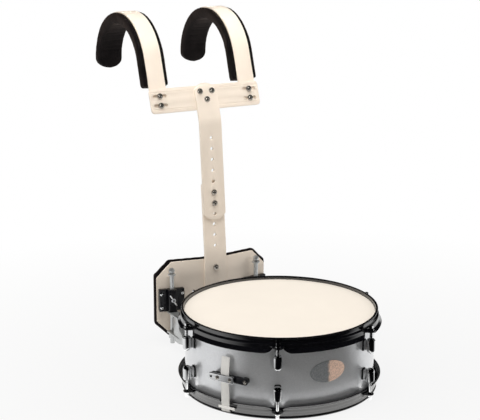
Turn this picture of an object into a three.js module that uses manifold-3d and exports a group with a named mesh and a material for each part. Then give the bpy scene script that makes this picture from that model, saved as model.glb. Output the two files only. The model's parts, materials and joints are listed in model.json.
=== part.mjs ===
// Marching snare drum on a shoulder carrier.
// Millimetres, +Z up. The origin is the centre of the playing surface of the batter head.
// The player stands behind the drum, on the +Y side. +X is the player's left.
// Azimuth is counted round the drum from the front (-Y), positive towards +X.

import * as THREE from 'three';
import { mergeVertices } from 'three/addons/utils/BufferGeometryUtils.js';
import Module from 'manifold-3d';

const wasm = await Module();
wasm.setup();

// Fits
const gap = 0.3; // between touching pieces
const boreGap = 0.4; // round a shaft in its hole
const overrun = 6; // how far a cutter reaches past what it cuts

// Counts
const drumSides = 60;
const roundSides = 12;
const pinSides = 8;
const lugCount = 6;
const strandCount = 20;

// Drum shell
const shellRadius = 177.5;
const shellWall = 7;
const headSpan = 139.8; // playing surface to snare-side surface
const filmThickness = 0.8;
const bearingFlat = 1.5;
const bearingBevel = 5.5;

// Heads
const collarWall = 0.7;
const fleshHoopWidth = 4;
const fleshHoopHeight = 7.7;
const fleshHoopDrop = 6.8;

// Hoops
const sheet = 2.2;
const lipRise = 6;
const lipWidth = 4.6;
const lipRound = 0.9;
const collarHeight = 9.5;
const skirtDrop = 20.5;
const skirtFlare = 5.3;
const earDrop = 8.5;
const earWidth = 18;
const earReach = 7.5; // past the rod centre
const notchWide = 25;
const notchNarrow = 8.5;
const notchRise = 3;

// Tension rods and lugs
const rodStand = 14.5; // from the shell's outside to a rod's middle
const rodCircle = shellRadius + rodStand;
const rodRadius = 3;
const washerRadius = 5.4;
const washerHeight = 1.4;
const keyFlangeRadius = 4.8;
const keyFlangeHeight = 2.6;
const keySide = 6.2;
const keyHeight = 5.6;
const lugRadius = 7.85;
const lugHeight = 27;
const lugMouthRadius = 6.6;
const lugMouthHeight = 1.6;
const lugDomeHeight = 8;
const lugBoreDepth = 20;
const lugFootWidth = 9.6;
const lugFootHeight = 19;
const lugFootInset = 4;
const topLugDrop = 24.5;
const bottomLugRise = 32.8; // from the snare-side surface to a lower lug's mouth
const rodEngagement = 16;

// Badge
const badgeLength = 71;
const badgeHeight = 40;
const badgeThickness = 0.9;
const badgeDrop = 65;

// Snare wires
const strandMargin = 27.5; // from the shell's outside to a strand's end
const strandThickness = 1.4;
const strandPitch = 2.1;
const wirePlateLength = 16;
const wirePlateThickness = 1.2;
const wirePlateMargin = 2;

// Snare straps
const strapWidth = 17;
const strapThickness = 1;
const strapOverlap = 12;
const gateMargin = 2.6;
const slotHeight = 3;
const gateBarLeft = -13;
const gateBarRight = 21;
const gateBarHeight = 4.5;
const gateBarThickness = 3;
const gateBarRise = 9.3; // above the snare-side surface

// Butt plate
const buttAzimuthShare = -1 / 6; // of a full turn
const buttRise = 62.3; // above the snare-side surface
const buttRaise = 9.5; // from the shell's outside to the bracket's front
const buttHeight = 13;
const buttLeft = -32;
const buttRight = 46;
const buttScrewX = 41;
const clampLeft = -31;
const clampRight = 21;
const clampHeight = 14;
const clampThickness = 4.5;
const clampScrewX = 13;
const clampHoleX = -26;
const clampCorner = 3.5;
const clampHoleRadius = 1.6;
const smallScrewRadius = 3.6;
const smallScrewHeight = 2.6;
const tailTopDrop = 38;
const tailLean = 3.3;
const standDepth = 21; // of a bracket on the shell, before the shell's room is cut from it

// Strainer
const strainerHighShare = 0.269592; // of the free height between the skirts, left above the knob
const strainerHeight = 58;
const strainerWidth = 34;
const strainerRaise = 13.5; // from the shell's outside to the body's front
const strainerCorner = 4;
const cheekThickness = 3.4;
const cheekReach = 13;
const cheekHeight = 15;
const pivotRise = 11; // above the strainer's middle
const pivotReach = 8;
const pivotRadius = 2.4;
const leverWidth = 19;
const leverBoss = 5.6;
const leverLength = 46;
const leverThickness = 3.4;
const sliderWidth = 24;
const sliderThickness = 3.4;
const railWall = 4;
const sliderTopBelow = 5; // below the strainer's middle
const sliderHeight = 29;
const knobRadius = 8;
const knobHeight = 8.6;
const knobSpindle = 2.5;
const knobSpindleDepth = 12;
const knobRaise = 9.9; // from the shell's outside to the knob's middle

// Belly plate and pad
const plateReach = 92.8; // from the shell's outside to the front face of the flat centre panel
const plateThickness = 3;
const plateTop = 26.5;
const plateBottom = -127;
const plateHalfFlat = 30;
const plateHalfWidth = 122.5;
const plateCorner = 31;
const wingAngle = THREE.MathUtils.degToRad(10);
const padThickness = 10;
const padCrown = 4;
const padMargin = 4.5;
const plateBoltHigh = 8;
const plateBoltLow = -32;

// Upright bars
const barWidth = 48;
const barThickness = 5;
const barLean = THREE.MathUtils.degToRad(5.5);
const topLean = THREE.MathUtils.degToRad(20);
const lowerBarBottom = -52;
const lowerBarBend = 40;
const lowerBarTop = 189;
const upperBarBottom = 107;
const upperBarBend = 305.3;
const upperBarHead = 77; // length above the bend
const barEndRise = 12;
const holePitch = 22; // along the leaning bar
const holeRadius = 3.3;
const firstHole = 118.7;
const upperHoleCount = 8;
const lowerHoleCount = 6;
const lowerHolesBelow = 3;

// Bolts
const boltRadius = 2.9;
const boltHeadRadius = 5.6;
const boltHeadHeight = 4;
const boltTail = 3;

// Crossbar
const crossLength = 240;
const crossHeight = 49;
const crossThickness = 4;
const crossCentre = 49.6; // along the bar, above its bend
const crossCorner = 8;
const slotLength = 29;
const slotWidth = 7;
const slotInset = 21.5; // from the crossbar's end to a slot's middle
const slotStep = 9.3;
const crossBoltX = 12.9;
const crossBoltHigh = 11.4;
const crossBoltLow = -5.4;

// Shoulder bars
const archHalfSpan = 122;
const archRise = 111;
const archBase = 399;
const archSteps = 22;
const archTail = 19;
const strapBarWidth = 36;
const strapBarThickness = 4;
const strapBarFoot = 15; // below the crossbar's middle
const shoulderPadWidth = 48;
const shoulderPadThickness = 18;
const shoulderPadCrown = 3;
const padFootClearance = 5;
const endSteps = 5;

// Clamp blocks and J rods
const jRodInset = 0.5; // inwards of the rear lug that the hanger holds
const jRodBehind = 1.2; // behind the plate's front face
const jRodRadius = 4.5;
const jRodTop = 5.5;
const jRodBottom = -141;
const jBallRadius = 6.2;
const ballSteps = 6;
const jCollarRadius = 8;
const jCollarHeight = 3;
const jNutRadius = 8;
const jNutHeight = 11;
const blockWidth = 52;
const blockTop = -27;
const blockHeight = 46;
const blockThickness = 10;
const blockCorner = 1.5;
const bossWidth = 17;
const bossWall = 4;
const blockScrewX = 21;
const blockScrewZ = 14;
const blockScrewRadius = 4;
const blockScrewHeight = 3;
const wingScrewRadius = 2.5;
const wingCollarRadius = 4.6;
const wingCollarLength = 5;
const wingBarLength = 27;
const wingBarRadius = 2;
const wingScrewRise = 3;
const wingTurn = THREE.MathUtils.degToRad(60);

// Hangers
const hangerSheet = 3;
const hangerHalfGap = 5.2;
const tabHalfWidth = 10;
const tabBottomDrop = 115; // top face of the lower tab
const webAhead = 48.5; // in front of the J rod
const webDepth = 25;
const webBottom = 127;
const tabReach = 7.5; // past the rod centre
const forkTipAhead = 8.3; // in front of the rear lug's rod
const forkHeelBehind = 38.7;
const forkTipDepth = 8;
const forkNeckBehind = 17.7;
const forkNeckDepth = 11;
const forkShoulder = 97;

// Finishes
const finish = (color, roughness, metalness) => (
  new THREE.MeshStandardMaterial({ color, roughness, metalness })
);
const silverLacquer = finish('#b9babb', 0.25, 0.3);
const blackEnamel = finish('#0c0c10', 0.2, 0.1);
const headFilm = finish('#f7efe4', 0.55, 0);
const chrome = finish('#c9cbcc', 0.12, 1);
const blackCasting = finish('#141418', 0.35, 0.2);
const snareWire = finish('#b4b6b8', 0.3, 1);
const whitePlastic = finish('#e9e7e0', 0.45, 0);
const whitePaint = finish('#f3ebdf', 0.4, 0);
const blackFoam = finish('#1c1a1b', 0.9, 0);
const darkChrome = finish('#6f6c68', 0.2, 1);
const foil = finish('#a98f7c', 0.3, 0.6);

// Places that follow the drum's size
const bottomLugDrop = headSpan - bottomLugRise - lugHeight;
const gateBarDrop = headSpan - gateBarRise;
const buttDrop = headSpan - buttRise;
const freeHeight = headSpan - 2 * skirtDrop - strainerHeight - knobHeight - gap;
const strainerTopDrop = skirtDrop + freeHeight * strainerHighShare + knobHeight + gap;
const strainerDrop = strainerTopDrop + strainerHeight / 2;
const pivotDrop = strainerDrop - pivotRise;
const sliderTopDrop = strainerDrop + sliderTopBelow;
const sliderBottomDrop = sliderTopDrop + sliderHeight;
const slotX = crossLength / 2 - slotInset;
const buttStand = shellRadius + buttRaise;
const strainerStand = shellRadius + strainerRaise;
const knobOut = shellRadius + knobRaise;
const strandSpan = 2 * (shellRadius - strandMargin);
const rearLugX = rodCircle * Math.sin(Math.PI / lugCount);
const rearLugY = rodCircle * Math.cos(Math.PI / lugCount);
const plateY = shellRadius + plateReach;
const jRodX = rearLugX - jRodInset;
const jRodY = plateY + jRodBehind;
const webFront = jRodY - webAhead;
const webBack = webFront + webDepth;
const forkTip = rearLugY - forkTipAhead;
const forkNeck = rearLugY + forkNeckBehind;
const forkHeel = rearLugY + forkHeelBehind;

// Turns a closed geometry into a solid, and back
function toSolid(source) {
  const bare = (source.index ? source.toNonIndexed() : source.clone());
  bare.deleteAttribute('normal');
  bare.deleteAttribute('uv');
  const merged = mergeVertices(bare);
  const position = merged.attributes.position.array;
  const index = merged.index.array;
  const triangles = [];
  let volume = 0;
  const corner = [new THREE.Vector3(), new THREE.Vector3(), new THREE.Vector3()];
  for (let i = 0; i < index.length; i += 3) {
    const [a, b, c] = [index[i], index[i + 1], index[i + 2]];
    if (a === b || b === c || c === a) continue;
    triangles.push([a, b, c]);
    [a, b, c].forEach((v, k) => corner[k].fromArray(position, v * 3));
    volume += corner[0].dot(corner[1].cross(corner[2]));
  }
  const facing = volume > 0 ? triangles : triangles.map(([a, b, c]) => [a, c, b]);
  return new wasm.Manifold(new wasm.Mesh({
    numProp: 3,
    vertProperties: new Float32Array(position),
    triVerts: new Uint32Array(facing.flat()),
  }));
}

function toGeometry(solid) {
  const mesh = solid.getMesh();
  const geometry = new THREE.BufferGeometry();
  geometry.setAttribute('position', new THREE.BufferAttribute(new Float32Array(mesh.vertProperties), 3));
  geometry.setIndex(new THREE.BufferAttribute(new Uint32Array(mesh.triVerts), 1));
  geometry.computeVertexNormals();
  return geometry;
}

// Round piece about Z from [radius, height] points
function turned(points, sides = roundSides) {
  const closed = points.map(([r, z]) => new THREE.Vector2(r, z));
  if (points[0][0] !== 0 || points[points.length - 1][0] !== 0) closed.push(closed[0].clone());
  const geometry = new THREE.LatheGeometry(closed, sides);
  geometry.rotateX(Math.PI / 2);
  return toSolid(geometry);
}

// Block between two corners
function block(x0, x1, y0, y1, z0, z1) {
  const geometry = new THREE.BoxGeometry(x1 - x0, y1 - y0, z1 - z0);
  geometry.translate((x0 + x1) / 2, (y0 + y1) / 2, (z0 + z1) / 2);
  return toSolid(geometry);
}

// Outline drawn in X and Z, with thickness along +Y from y0
function facingPlate(shape, y0, thickness, curveSegments = roundSides / 2) {
  const geometry = new THREE.ExtrudeGeometry(shape, { depth: thickness, bevelEnabled: false, curveSegments });
  geometry.rotateX(Math.PI / 2);
  geometry.translate(0, y0 + thickness, 0);
  return toSolid(geometry);
}

// Outline drawn in Y and Z, with thickness along X, centred on x
function sidePlate(points, x, thickness) {
  const shape = new THREE.Shape(points.map(([y, z]) => new THREE.Vector2(y, z)));
  const geometry = new THREE.ExtrudeGeometry(shape, { depth: thickness, bevelEnabled: false });
  geometry.rotateZ(Math.PI / 2);
  geometry.rotateY(Math.PI / 2);
  geometry.translate(x - thickness / 2, 0, 0);
  return toSolid(geometry);
}

// Round pin along Z from z0 to z1
function pin(radius, z0, z1, sides = pinSides) {
  const geometry = new THREE.CylinderGeometry(radius, radius, z1 - z0, sides);
  geometry.rotateX(Math.PI / 2);
  geometry.translate(0, 0, (z0 + z1) / 2);
  return toSolid(geometry);
}

const moved = (solid, x, y, z) => solid.translate([x, y, z]);
const aimedBack = (solid) => solid.rotate([-90, 0, 0]); // turns +Z into +Y
const aimedRight = (solid) => solid.rotate([0, 90, 0]); // turns +Z into +X
const joined = (first, ...rest) => rest.reduce((all, one) => all.add(one), first);

function roundedOutline(x0, x1, z0, z1, radius) {
  const shape = new THREE.Shape();
  shape.moveTo(x0 + radius, z0);
  shape.lineTo(x1 - radius, z0);
  shape.absarc(x1 - radius, z0 + radius, radius, -Math.PI / 2, 0, false);
  shape.lineTo(x1, z1 - radius);
  shape.absarc(x1 - radius, z1 - radius, radius, 0, Math.PI / 2, false);
  shape.lineTo(x0 + radius, z1);
  shape.absarc(x0 + radius, z1 - radius, radius, Math.PI / 2, Math.PI, false);
  shape.lineTo(x0, z0 + radius);
  shape.absarc(x0 + radius, z0 + radius, radius, Math.PI, 1.5 * Math.PI, false);
  return shape;
}

// Domed bolt along +Y: its head is in front of y = 0 and its shank behind
function bolt(shankLength, radius = boltRadius, headRadius = boltHeadRadius, headHeight = boltHeadHeight) {
  const domeShare = 0.45;
  const crownShare = 0.72;
  return aimedBack(turned([
    [0, -headHeight],
    [headRadius * crownShare, -headHeight * crownShare],
    [headRadius, -headHeight * domeShare],
    [headRadius, 0],
    [radius, 0],
    [radius, shankLength],
    [0, shankLength],
  ], pinSides));
}

const object = new THREE.Group();

function addPiece(parent, name, solid, material) {
  const mesh = new THREE.Mesh(toGeometry(solid), material);
  mesh.name = name;
  parent.add(mesh);
  return mesh;
}

// A group turned so that its -Y direction points out of the drum at an azimuth
function drumStation(azimuth) {
  const station = new THREE.Group();
  station.rotation.z = azimuth;
  object.add(station);
  return station;
}

// Shell
const shellTop = -filmThickness - gap;
const shellBottom = -headSpan + filmThickness + gap;
const shellInner = shellRadius - shellWall;
const bearingRadius = shellRadius - bearingFlat;
addPiece(object, 'shell', turned([
  [bearingRadius, shellBottom],
  [shellRadius, shellBottom + bearingFlat],
  [shellRadius, shellTop - bearingFlat],
  [bearingRadius, shellTop],
  [shellInner, shellTop - bearingBevel],
  [shellInner, shellBottom + bearingBevel],
], drumSides), silverLacquer);

// Heads: a film over the bearing edge, a collar and a flesh hoop
const collarInner = shellRadius + gap;
const collarOuter = collarInner + collarWall;
const fleshHoopOuter = collarOuter + fleshHoopWidth;
const fleshHoopFoot = -fleshHoopDrop - fleshHoopHeight;
const head = turned([
  [0, 0],
  [bearingRadius, 0],
  [collarOuter, -filmThickness],
  [collarOuter, -fleshHoopDrop],
  [fleshHoopOuter, -fleshHoopDrop],
  [fleshHoopOuter, fleshHoopFoot],
  [collarInner, fleshHoopFoot],
  [collarInner, -filmThickness],
  [0, -filmThickness],
], drumSides);
const toSnareSide = (solid) => moved(solid.mirror([0, 0, 1]), 0, 0, -headSpan);
addPiece(object, 'batter_head', head, headFilm);
addPiece(object, 'snare_head', toSnareSide(head), headFilm);

// Hoops: a rolled lip, a wall, a step on the flesh hoop, a collar and a flared skirt with ears
const wallInner = collarOuter + gap;
const wallOuter = wallInner + sheet;
const lipOuter = wallInner + lipWidth;
const hoopInner = fleshHoopOuter + gap;
const hoopOuter = hoopInner + sheet;
const stepUnder = -fleshHoopDrop + gap;
const stepTop = stepUnder + sheet;
const flareStart = stepTop - collarHeight;
const skirtOuter = hoopOuter + skirtFlare;
const hoopRing = turned([
  [wallInner, stepUnder],
  [hoopInner, stepUnder],
  [hoopInner, flareStart - sheet / 2],
  [skirtOuter - sheet, -skirtDrop],
  [skirtOuter, -skirtDrop + sheet / 2],
  [hoopOuter, flareStart],
  [hoopOuter, stepTop],
  [wallOuter, stepTop],
  [wallOuter, lipRise - sheet],
  [lipOuter, lipRise - sheet],
  [lipOuter, lipRise - lipRound],
  [lipOuter - lipRound, lipRise],
  [wallInner + lipRound, lipRise],
  [wallInner, lipRise - lipRound],
], drumSides);

// The part of the skirt that is cut away round an ear or a gate, drawn at the front of the drum
function skirtNotch(halfWide, halfNarrow) {
  const shape = new THREE.Shape();
  const bottom = -skirtDrop - overrun;
  const top = -earDrop - sheet + notchRise;
  shape.moveTo(-halfWide, bottom);
  shape.lineTo(halfWide, bottom);
  shape.lineTo(halfWide, -skirtDrop);
  shape.quadraticCurveTo(halfNarrow, -skirtDrop, halfNarrow, top);
  shape.lineTo(-halfNarrow, top);
  shape.quadraticCurveTo(-halfNarrow, -skirtDrop, -halfWide, -skirtDrop);
  return facingPlate(shape, -skirtOuter - overrun, skirtFlare + overrun);
}

function ear() {
  const half = earWidth / 2;
  const tip = -rodCircle - earReach;
  const root = -(hoopInner + hoopOuter) / 2;
  const shape = new THREE.Shape();
  shape.moveTo(-half, root);
  shape.lineTo(-half, tip + half);
  shape.quadraticCurveTo(-half, tip, 0, tip);
  shape.quadraticCurveTo(half, tip, half, tip + half);
  shape.lineTo(half, root);
  const geometry = new THREE.ExtrudeGeometry(shape, { depth: sheet, bevelEnabled: false, curveSegments: pinSides / 2 });
  geometry.translate(0, 0, -earDrop - sheet);
  const hole = moved(pin(rodRadius + boreGap, -skirtDrop, 0), 0, -rodCircle, 0);
  return toSolid(geometry).subtract(hole);
}

const lugStep = 360 / lugCount;
const lugAzimuths = Array.from({ length: lugCount }, (_, i) => (i + 0.5) * lugStep - 180);
let plainHoop = hoopRing;
for (const azimuth of lugAzimuths) {
  plainHoop = plainHoop.subtract(skirtNotch(notchWide, notchNarrow).rotate([0, 0, azimuth]));
  plainHoop = plainHoop.add(ear().rotate([0, 0, azimuth]));
}

// The snare gates: a notch in the skirt and a slot in the wall, where a strap goes in
const gateHalf = strapWidth / 2 + gateMargin;
const wireTop = -headSpan - gap;
const strapTop = wireTop - wirePlateThickness - gap;
const strapMiddle = strapTop - strapThickness / 2;
const buttAzimuth = 360 * buttAzimuthShare;
const gateAzimuths = [buttAzimuth, buttAzimuth + 180];
let gatedHoop = toSnareSide(plainHoop);
for (const azimuth of gateAzimuths) {
  const notch = toSnareSide(skirtNotch(gateHalf, gateHalf));
  const slot = block(
    -gateHalf, gateHalf, -hoopOuter - overrun, -wallInner + overrun,
    strapMiddle - slotHeight / 2, strapMiddle + slotHeight / 2,
  );
  gatedHoop = gatedHoop.subtract(notch.rotate([0, 0, azimuth])).subtract(slot.rotate([0, 0, azimuth]));
}
addPiece(object, 'top_hoop', plainHoop, blackEnamel);
addPiece(object, 'bottom_hoop', gatedHoop, blackEnamel);

// Lug: a bullet round the rod's bore, and a foot that stands on the shell
const lugBore = rodRadius + boreGap;
const lugShoulderShare = 0.72;
const lug = joined(
  turned([
    [0, -lugHeight],
    [lugRadius * lugShoulderShare, -lugHeight + lugDomeHeight * (1 - lugShoulderShare)],
    [lugRadius, -lugHeight + lugDomeHeight],
    [lugRadius, -lugMouthHeight],
    [lugMouthRadius, 0],
    [lugBore, 0],
    [lugBore, -lugBoreDepth],
    [0, -lugBoreDepth],
  ], roundSides),
  block(
    -lugFootWidth / 2, lugFootWidth / 2, lugRadius / 2 + boreGap, rodCircle - shellRadius - gap,
    -lugFootInset - lugFootHeight, -lugFootInset,
  ),
);

// Tension rod: a key head, a washer on the ear and a shaft down into the lug
const washerFoot = -earDrop + gap;
function tensionRod(tipZ) {
  const flangeFoot = washerFoot + washerHeight;
  const keyFoot = flangeFoot + keyFlangeHeight;
  return joined(
    turned([
      [0, tipZ],
      [rodRadius, tipZ],
      [rodRadius, washerFoot],
      [washerRadius, washerFoot],
      [washerRadius, flangeFoot],
      [keyFlangeRadius, flangeFoot],
      [keyFlangeRadius, keyFoot],
      [0, keyFoot],
    ], pinSides),
    block(-keySide / 2, keySide / 2, -keySide / 2, keySide / 2, flangeFoot, keyFoot + keyHeight),
  );
}
const topRod = tensionRod(-topLugDrop - rodEngagement);
const bottomLugGap = headSpan - bottomLugDrop - lugHeight;
const bottomRod = toSnareSide(tensionRod(-bottomLugGap - rodEngagement));

lugAzimuths.forEach((azimuth, i) => {
  const station = drumStation(THREE.MathUtils.degToRad(azimuth));
  const number = i + 1;
  const atRod = (solid, z) => moved(solid, 0, -rodCircle, z);
  addPiece(station, `top_lug_${number}`, atRod(lug, -topLugDrop), blackCasting);
  const lowerLug = atRod(lug.mirror([0, 0, 1]), -bottomLugDrop - lugHeight);
  addPiece(station, `bottom_lug_${number}`, lowerLug, blackCasting);
  addPiece(station, `top_rod_${number}`, atRod(topRod, 0), chrome);
  addPiece(station, `bottom_rod_${number}`, atRod(bottomRod, 0), chrome);
});

// What a piece on the shell is cut back to
const shellRoom = turned([
  [0, -headSpan], [shellRadius + gap, -headSpan], [shellRadius + gap, 0], [0, 0],
], drumSides);

// Badge: a curved foil oval
const badgeOutline = new THREE.Shape();
badgeOutline.absellipse(0, -badgeDrop, badgeLength / 2, badgeHeight / 2, 0, 2 * Math.PI);
const badgeOuter = shellRadius + gap + badgeThickness;
const badgeBand = turned([
  [shellRadius + gap, -headSpan], [badgeOuter, -headSpan], [badgeOuter, 0], [shellRadius + gap, 0],
], drumSides);
addPiece(object, 'badge', badgeBand.intersect(
  facingPlate(badgeOutline, -badgeOuter - overrun, badgeOuter, roundSides * 2),
), foil);

// Snare wires: two end plates and the strands between them
const buttStation = drumStation(THREE.MathUtils.degToRad(buttAzimuth));
const strainerStation = drumStation(THREE.MathUtils.degToRad(buttAzimuth + 180));
const wireBandWidth = (strandCount - 1) * strandPitch + strandThickness;
const wirePlateHalf = wireBandWidth / 2 + wirePlateMargin;
const wirePlateFoot = wireTop - wirePlateThickness;
const plateInner = strandSpan / 2 - overrun;
const wirePlateOuter = plateInner + wirePlateLength;
const wireParts = [
  block(-wirePlateHalf, wirePlateHalf, plateInner, wirePlateOuter, wirePlateFoot, wireTop),
  block(-wirePlateHalf, wirePlateHalf, -wirePlateOuter, -plateInner, wirePlateFoot, wireTop),
];
for (let i = 0; i < strandCount; i += 1) {
  const x = -wireBandWidth / 2 + i * strandPitch;
  wireParts.push(block(
    x, x + strandThickness, -strandSpan / 2, strandSpan / 2, wireTop - strandThickness, wireTop,
  ));
}
addPiece(buttStation, 'snare_wires', joined(...wireParts), snareWire);

// Straps: a flat band that follows [reach from the drum's axis, height] points
function band(points, half) {
  const outer = [];
  const inner = [];
  points.forEach(([reach, z], i) => {
    const before = points[Math.max(i - 1, 0)];
    const after = points[Math.min(i + 1, points.length - 1)];
    const along = new THREE.Vector2(after[0] - before[0], after[1] - before[1]).normalize();
    const side = new THREE.Vector2(-along.y, along.x).multiplyScalar(strapThickness / 2);
    outer.push([-(reach + side.x), z + side.y]);
    inner.unshift([-(reach - side.x), z - side.y]);
  });
  return sidePlate([...outer, ...inner], 0, half * 2);
}

const strapRun = hoopOuter + gap + strapThickness; // where a strap goes down past the hoop
const strapEnd = wirePlateOuter - strapOverlap;
const strapCorner = strapThickness * 2;
const strapFlareDrop = sliderBottomDrop + gap + strapOverlap;
const strapFoot = [
  [strapRun, -strapFlareDrop],
  [strapRun, strapMiddle + strapCorner],
  [strapRun - strapCorner / 3, strapMiddle + strapCorner / 3],
  [strapRun - strapCorner, strapMiddle],
  [strapEnd, strapMiddle],
];
const gateBarInner = strapRun + strapThickness / 2 - gap;
const gateBar = block(
  gateBarLeft, gateBarRight, -gateBarInner - gateBarThickness, -gateBarInner,
  -gateBarDrop - gateBarHeight, -gateBarDrop,
);

// Butt plate: a bracket on the shell, and a bar that clamps the strap's tail
const clampFace = buttStand + gap + strapThickness + gap;
const buttMiddle = buttStand + gap + strapThickness / 2;
const buttOutline = roundedOutline(
  buttLeft, buttRight, -buttDrop - buttHeight / 2, -buttDrop + buttHeight / 2, buttHeight / 2,
);
const smallScrew = bolt(gap, smallScrewRadius / 2, smallScrewRadius, smallScrewHeight);
addPiece(buttStation, 'butt_bracket', joined(
  facingPlate(buttOutline, -buttStand, standDepth).subtract(shellRoom),
  moved(smallScrew, buttScrewX, -buttStand, -buttDrop),
), blackCasting);

const clampFront = -clampFace - clampThickness;
const clampMiddle = -clampFace - clampThickness / 2;
const clampOutline = roundedOutline(
  clampLeft, clampRight, -buttDrop - clampHeight / 2, -buttDrop + clampHeight / 2, clampCorner,
);
const clampHole = moved(
  aimedBack(pin(clampHoleRadius, -overrun, clampThickness + overrun)), clampHoleX, clampFront, -buttDrop,
);
addPiece(buttStation, 'butt_clamp', joined(
  facingPlate(clampOutline, clampFront, clampThickness).subtract(clampHole),
  ...[-clampScrewX, clampScrewX].map((x) => moved(smallScrew, x, clampFront, -buttDrop)),
  ...[-clampScrewX, clampScrewX].map((x) => moved(
    aimedBack(pin(smallScrewRadius / 2, 0, -buttStand - gap - clampMiddle)), x, clampMiddle, -buttDrop,
  )),
), chrome);

addPiece(buttStation, 'butt_strap', joined(
  band([
    [buttMiddle - tailLean, -tailTopDrop],
    [buttMiddle, -buttDrop + buttHeight],
    [buttMiddle, -buttDrop - buttHeight],
    ...strapFoot,
  ], strapWidth / 2),
  gateBar,
), whitePlastic);

// Strainer: body, lever, slider, tension knob and strap
const strainerTop = -strainerDrop + strainerHeight / 2;
const strainerBottom = -strainerDrop - strainerHeight / 2;
const sliderBack = -strainerStand - gap;
const sliderFront = sliderBack - sliderThickness;
const pivotY = -strainerStand - pivotReach;
const strainerOutline = roundedOutline(
  -strainerWidth / 2, strainerWidth / 2, strainerBottom, strainerTop, strainerCorner,
);
const knobBore = moved(
  pin(knobSpindle + boreGap, strainerTop - knobSpindleDepth - gap, strainerTop + overrun), 0, -knobOut, 0,
);
const cheek = (x) => block(
  x - cheekThickness / 2, x + cheekThickness / 2, -strainerStand - cheekReach, -strainerStand + gap,
  -pivotDrop - cheekHeight / 2, -pivotDrop + cheekHeight / 2,
);
const cheekX = leverWidth / 2 + gap + cheekThickness / 2;
const pivotHalf = cheekX + cheekThickness / 2;
const pivotPin = moved(aimedRight(pin(pivotRadius, -pivotHalf, pivotHalf)), 0, pivotY, -pivotDrop);
const railX = sliderWidth / 2 + gap;
const rail = (x) => block(
  x, x + railWall, sliderFront, -strainerStand + gap, strainerBottom + railWall, -sliderTopDrop,
);
addPiece(strainerStation, 'strainer_body', joined(
  facingPlate(strainerOutline, -strainerStand, standDepth).subtract(shellRoom).subtract(knobBore),
  rail(railX),
  rail(-railX - railWall),
  cheek(-cheekX),
  cheek(cheekX),
  pivotPin,
), chrome);

const leverTipShare = 0.6;
const leverEnd = -pivotDrop - leverLength;
const leverOutline = new THREE.Shape([
  new THREE.Vector2(-leverWidth / 2, -pivotDrop),
  new THREE.Vector2(-leverWidth / 2 * leverTipShare, leverEnd),
  new THREE.Vector2(leverWidth / 2 * leverTipShare, leverEnd),
  new THREE.Vector2(leverWidth / 2, -pivotDrop),
]);
const atPivot = (solid) => moved(aimedRight(solid), 0, pivotY, -pivotDrop);
const leverBossSolid = atPivot(pin(leverBoss, -leverWidth / 2, leverWidth / 2));
const leverBore = atPivot(pin(pivotRadius + boreGap, -leverWidth, leverWidth));
addPiece(strainerStation, 'strainer_lever', joined(
  leverBossSolid,
  facingPlate(leverOutline, pivotY - leverBoss, leverThickness),
).subtract(leverBore), chrome);

addPiece(strainerStation, 'strainer_slider', block(
  -sliderWidth / 2, sliderWidth / 2, sliderFront, sliderBack, -sliderBottomDrop, -sliderTopDrop,
), chrome);

const knobFoot = strainerTop + gap;
addPiece(strainerStation, 'tension_knob', moved(joined(
  pin(knobRadius, knobFoot, knobFoot + knobHeight, roundSides),
  pin(knobSpindle, strainerTop - knobSpindleDepth, knobFoot + gap),
), 0, -knobOut, 0), blackCasting);

addPiece(strainerStation, 'strainer_strap', joined(
  band([
    [strainerStand + sliderThickness / 2, -sliderBottomDrop - gap],
    ...strapFoot,
  ], strapWidth / 2),
  gateBar,
), whitePlastic);

// Belly plate and pad: a flat centre panel with two wings that are folded back
function foldedPanel(frontY, thickness, margin) {
  const half = plateHalfWidth + margin;
  const top = plateTop + margin;
  const bottom = plateBottom - margin;
  const centre = block(-plateHalfFlat, plateHalfFlat, frontY, frontY + thickness, bottom, top);
  const wingSpan = (half - plateHalfFlat) / Math.cos(wingAngle);
  const wing = facingPlate(new THREE.Shape([
    new THREE.Vector2(0, bottom),
    new THREE.Vector2(wingSpan - plateCorner, bottom),
    new THREE.Vector2(wingSpan, bottom + plateCorner),
    new THREE.Vector2(wingSpan, top - plateCorner),
    new THREE.Vector2(wingSpan - plateCorner, top),
    new THREE.Vector2(0, top),
  ]), 0, thickness);
  const right = moved(wing.rotate([0, 0, THREE.MathUtils.radToDeg(wingAngle)]), plateHalfFlat, frontY, 0);
  return [centre, right, right.mirror([1, 0, 0])];
}

const lowerFront = plateY - gap - barThickness;
const plateBolt = bolt(barThickness + 2 * gap + plateThickness / 2);
addPiece(object, 'belly_plate', joined(
  ...foldedPanel(plateY, plateThickness, 0),
  ...[plateBoltHigh, plateBoltLow].map((z) => moved(plateBolt, 0, lowerFront - gap, z)),
), whitePaint);

// Belly pad: its edges are drawn in towards a crowned back
const padFront = plateY + plateThickness + gap;
const padSides = foldedPanel(padFront, padThickness - padCrown, padMargin);
const padBack = foldedPanel(padFront, padThickness, padMargin - padCrown);
addPiece(object, 'belly_pad', joined(
  ...padSides.map((side, i) => wasm.Manifold.hull([side, padBack[i]])),
), blackFoam);

// Upright bars: flat bars that lean back, with rows of holes
const leanRise = Math.tan(barLean);
const lowerFrontAt = (z) => lowerFront + Math.max(z - lowerBarBend, 0) * leanRise;
const upperSetback = (barThickness + gap) / Math.cos(barLean);
const upperFrontAt = (z) => lowerFrontAt(z) - upperSetback;
const bendY = upperFrontAt(upperBarBend);

// Front view of a bar: its ends are arcs that rise by endRise
function barOutline(z0, z1, endRise) {
  const half = barWidth / 2;
  const radius = (half * half + endRise * endRise) / (2 * endRise);
  const sweep = Math.asin(half / radius);
  const shape = new THREE.Shape();
  shape.absarc(0, z1 - radius, radius, Math.PI / 2 - sweep, Math.PI / 2 + sweep, false);
  shape.absarc(0, z0 + radius, radius, 1.5 * Math.PI - sweep, 1.5 * Math.PI + sweep, false);
  return shape;
}

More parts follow.
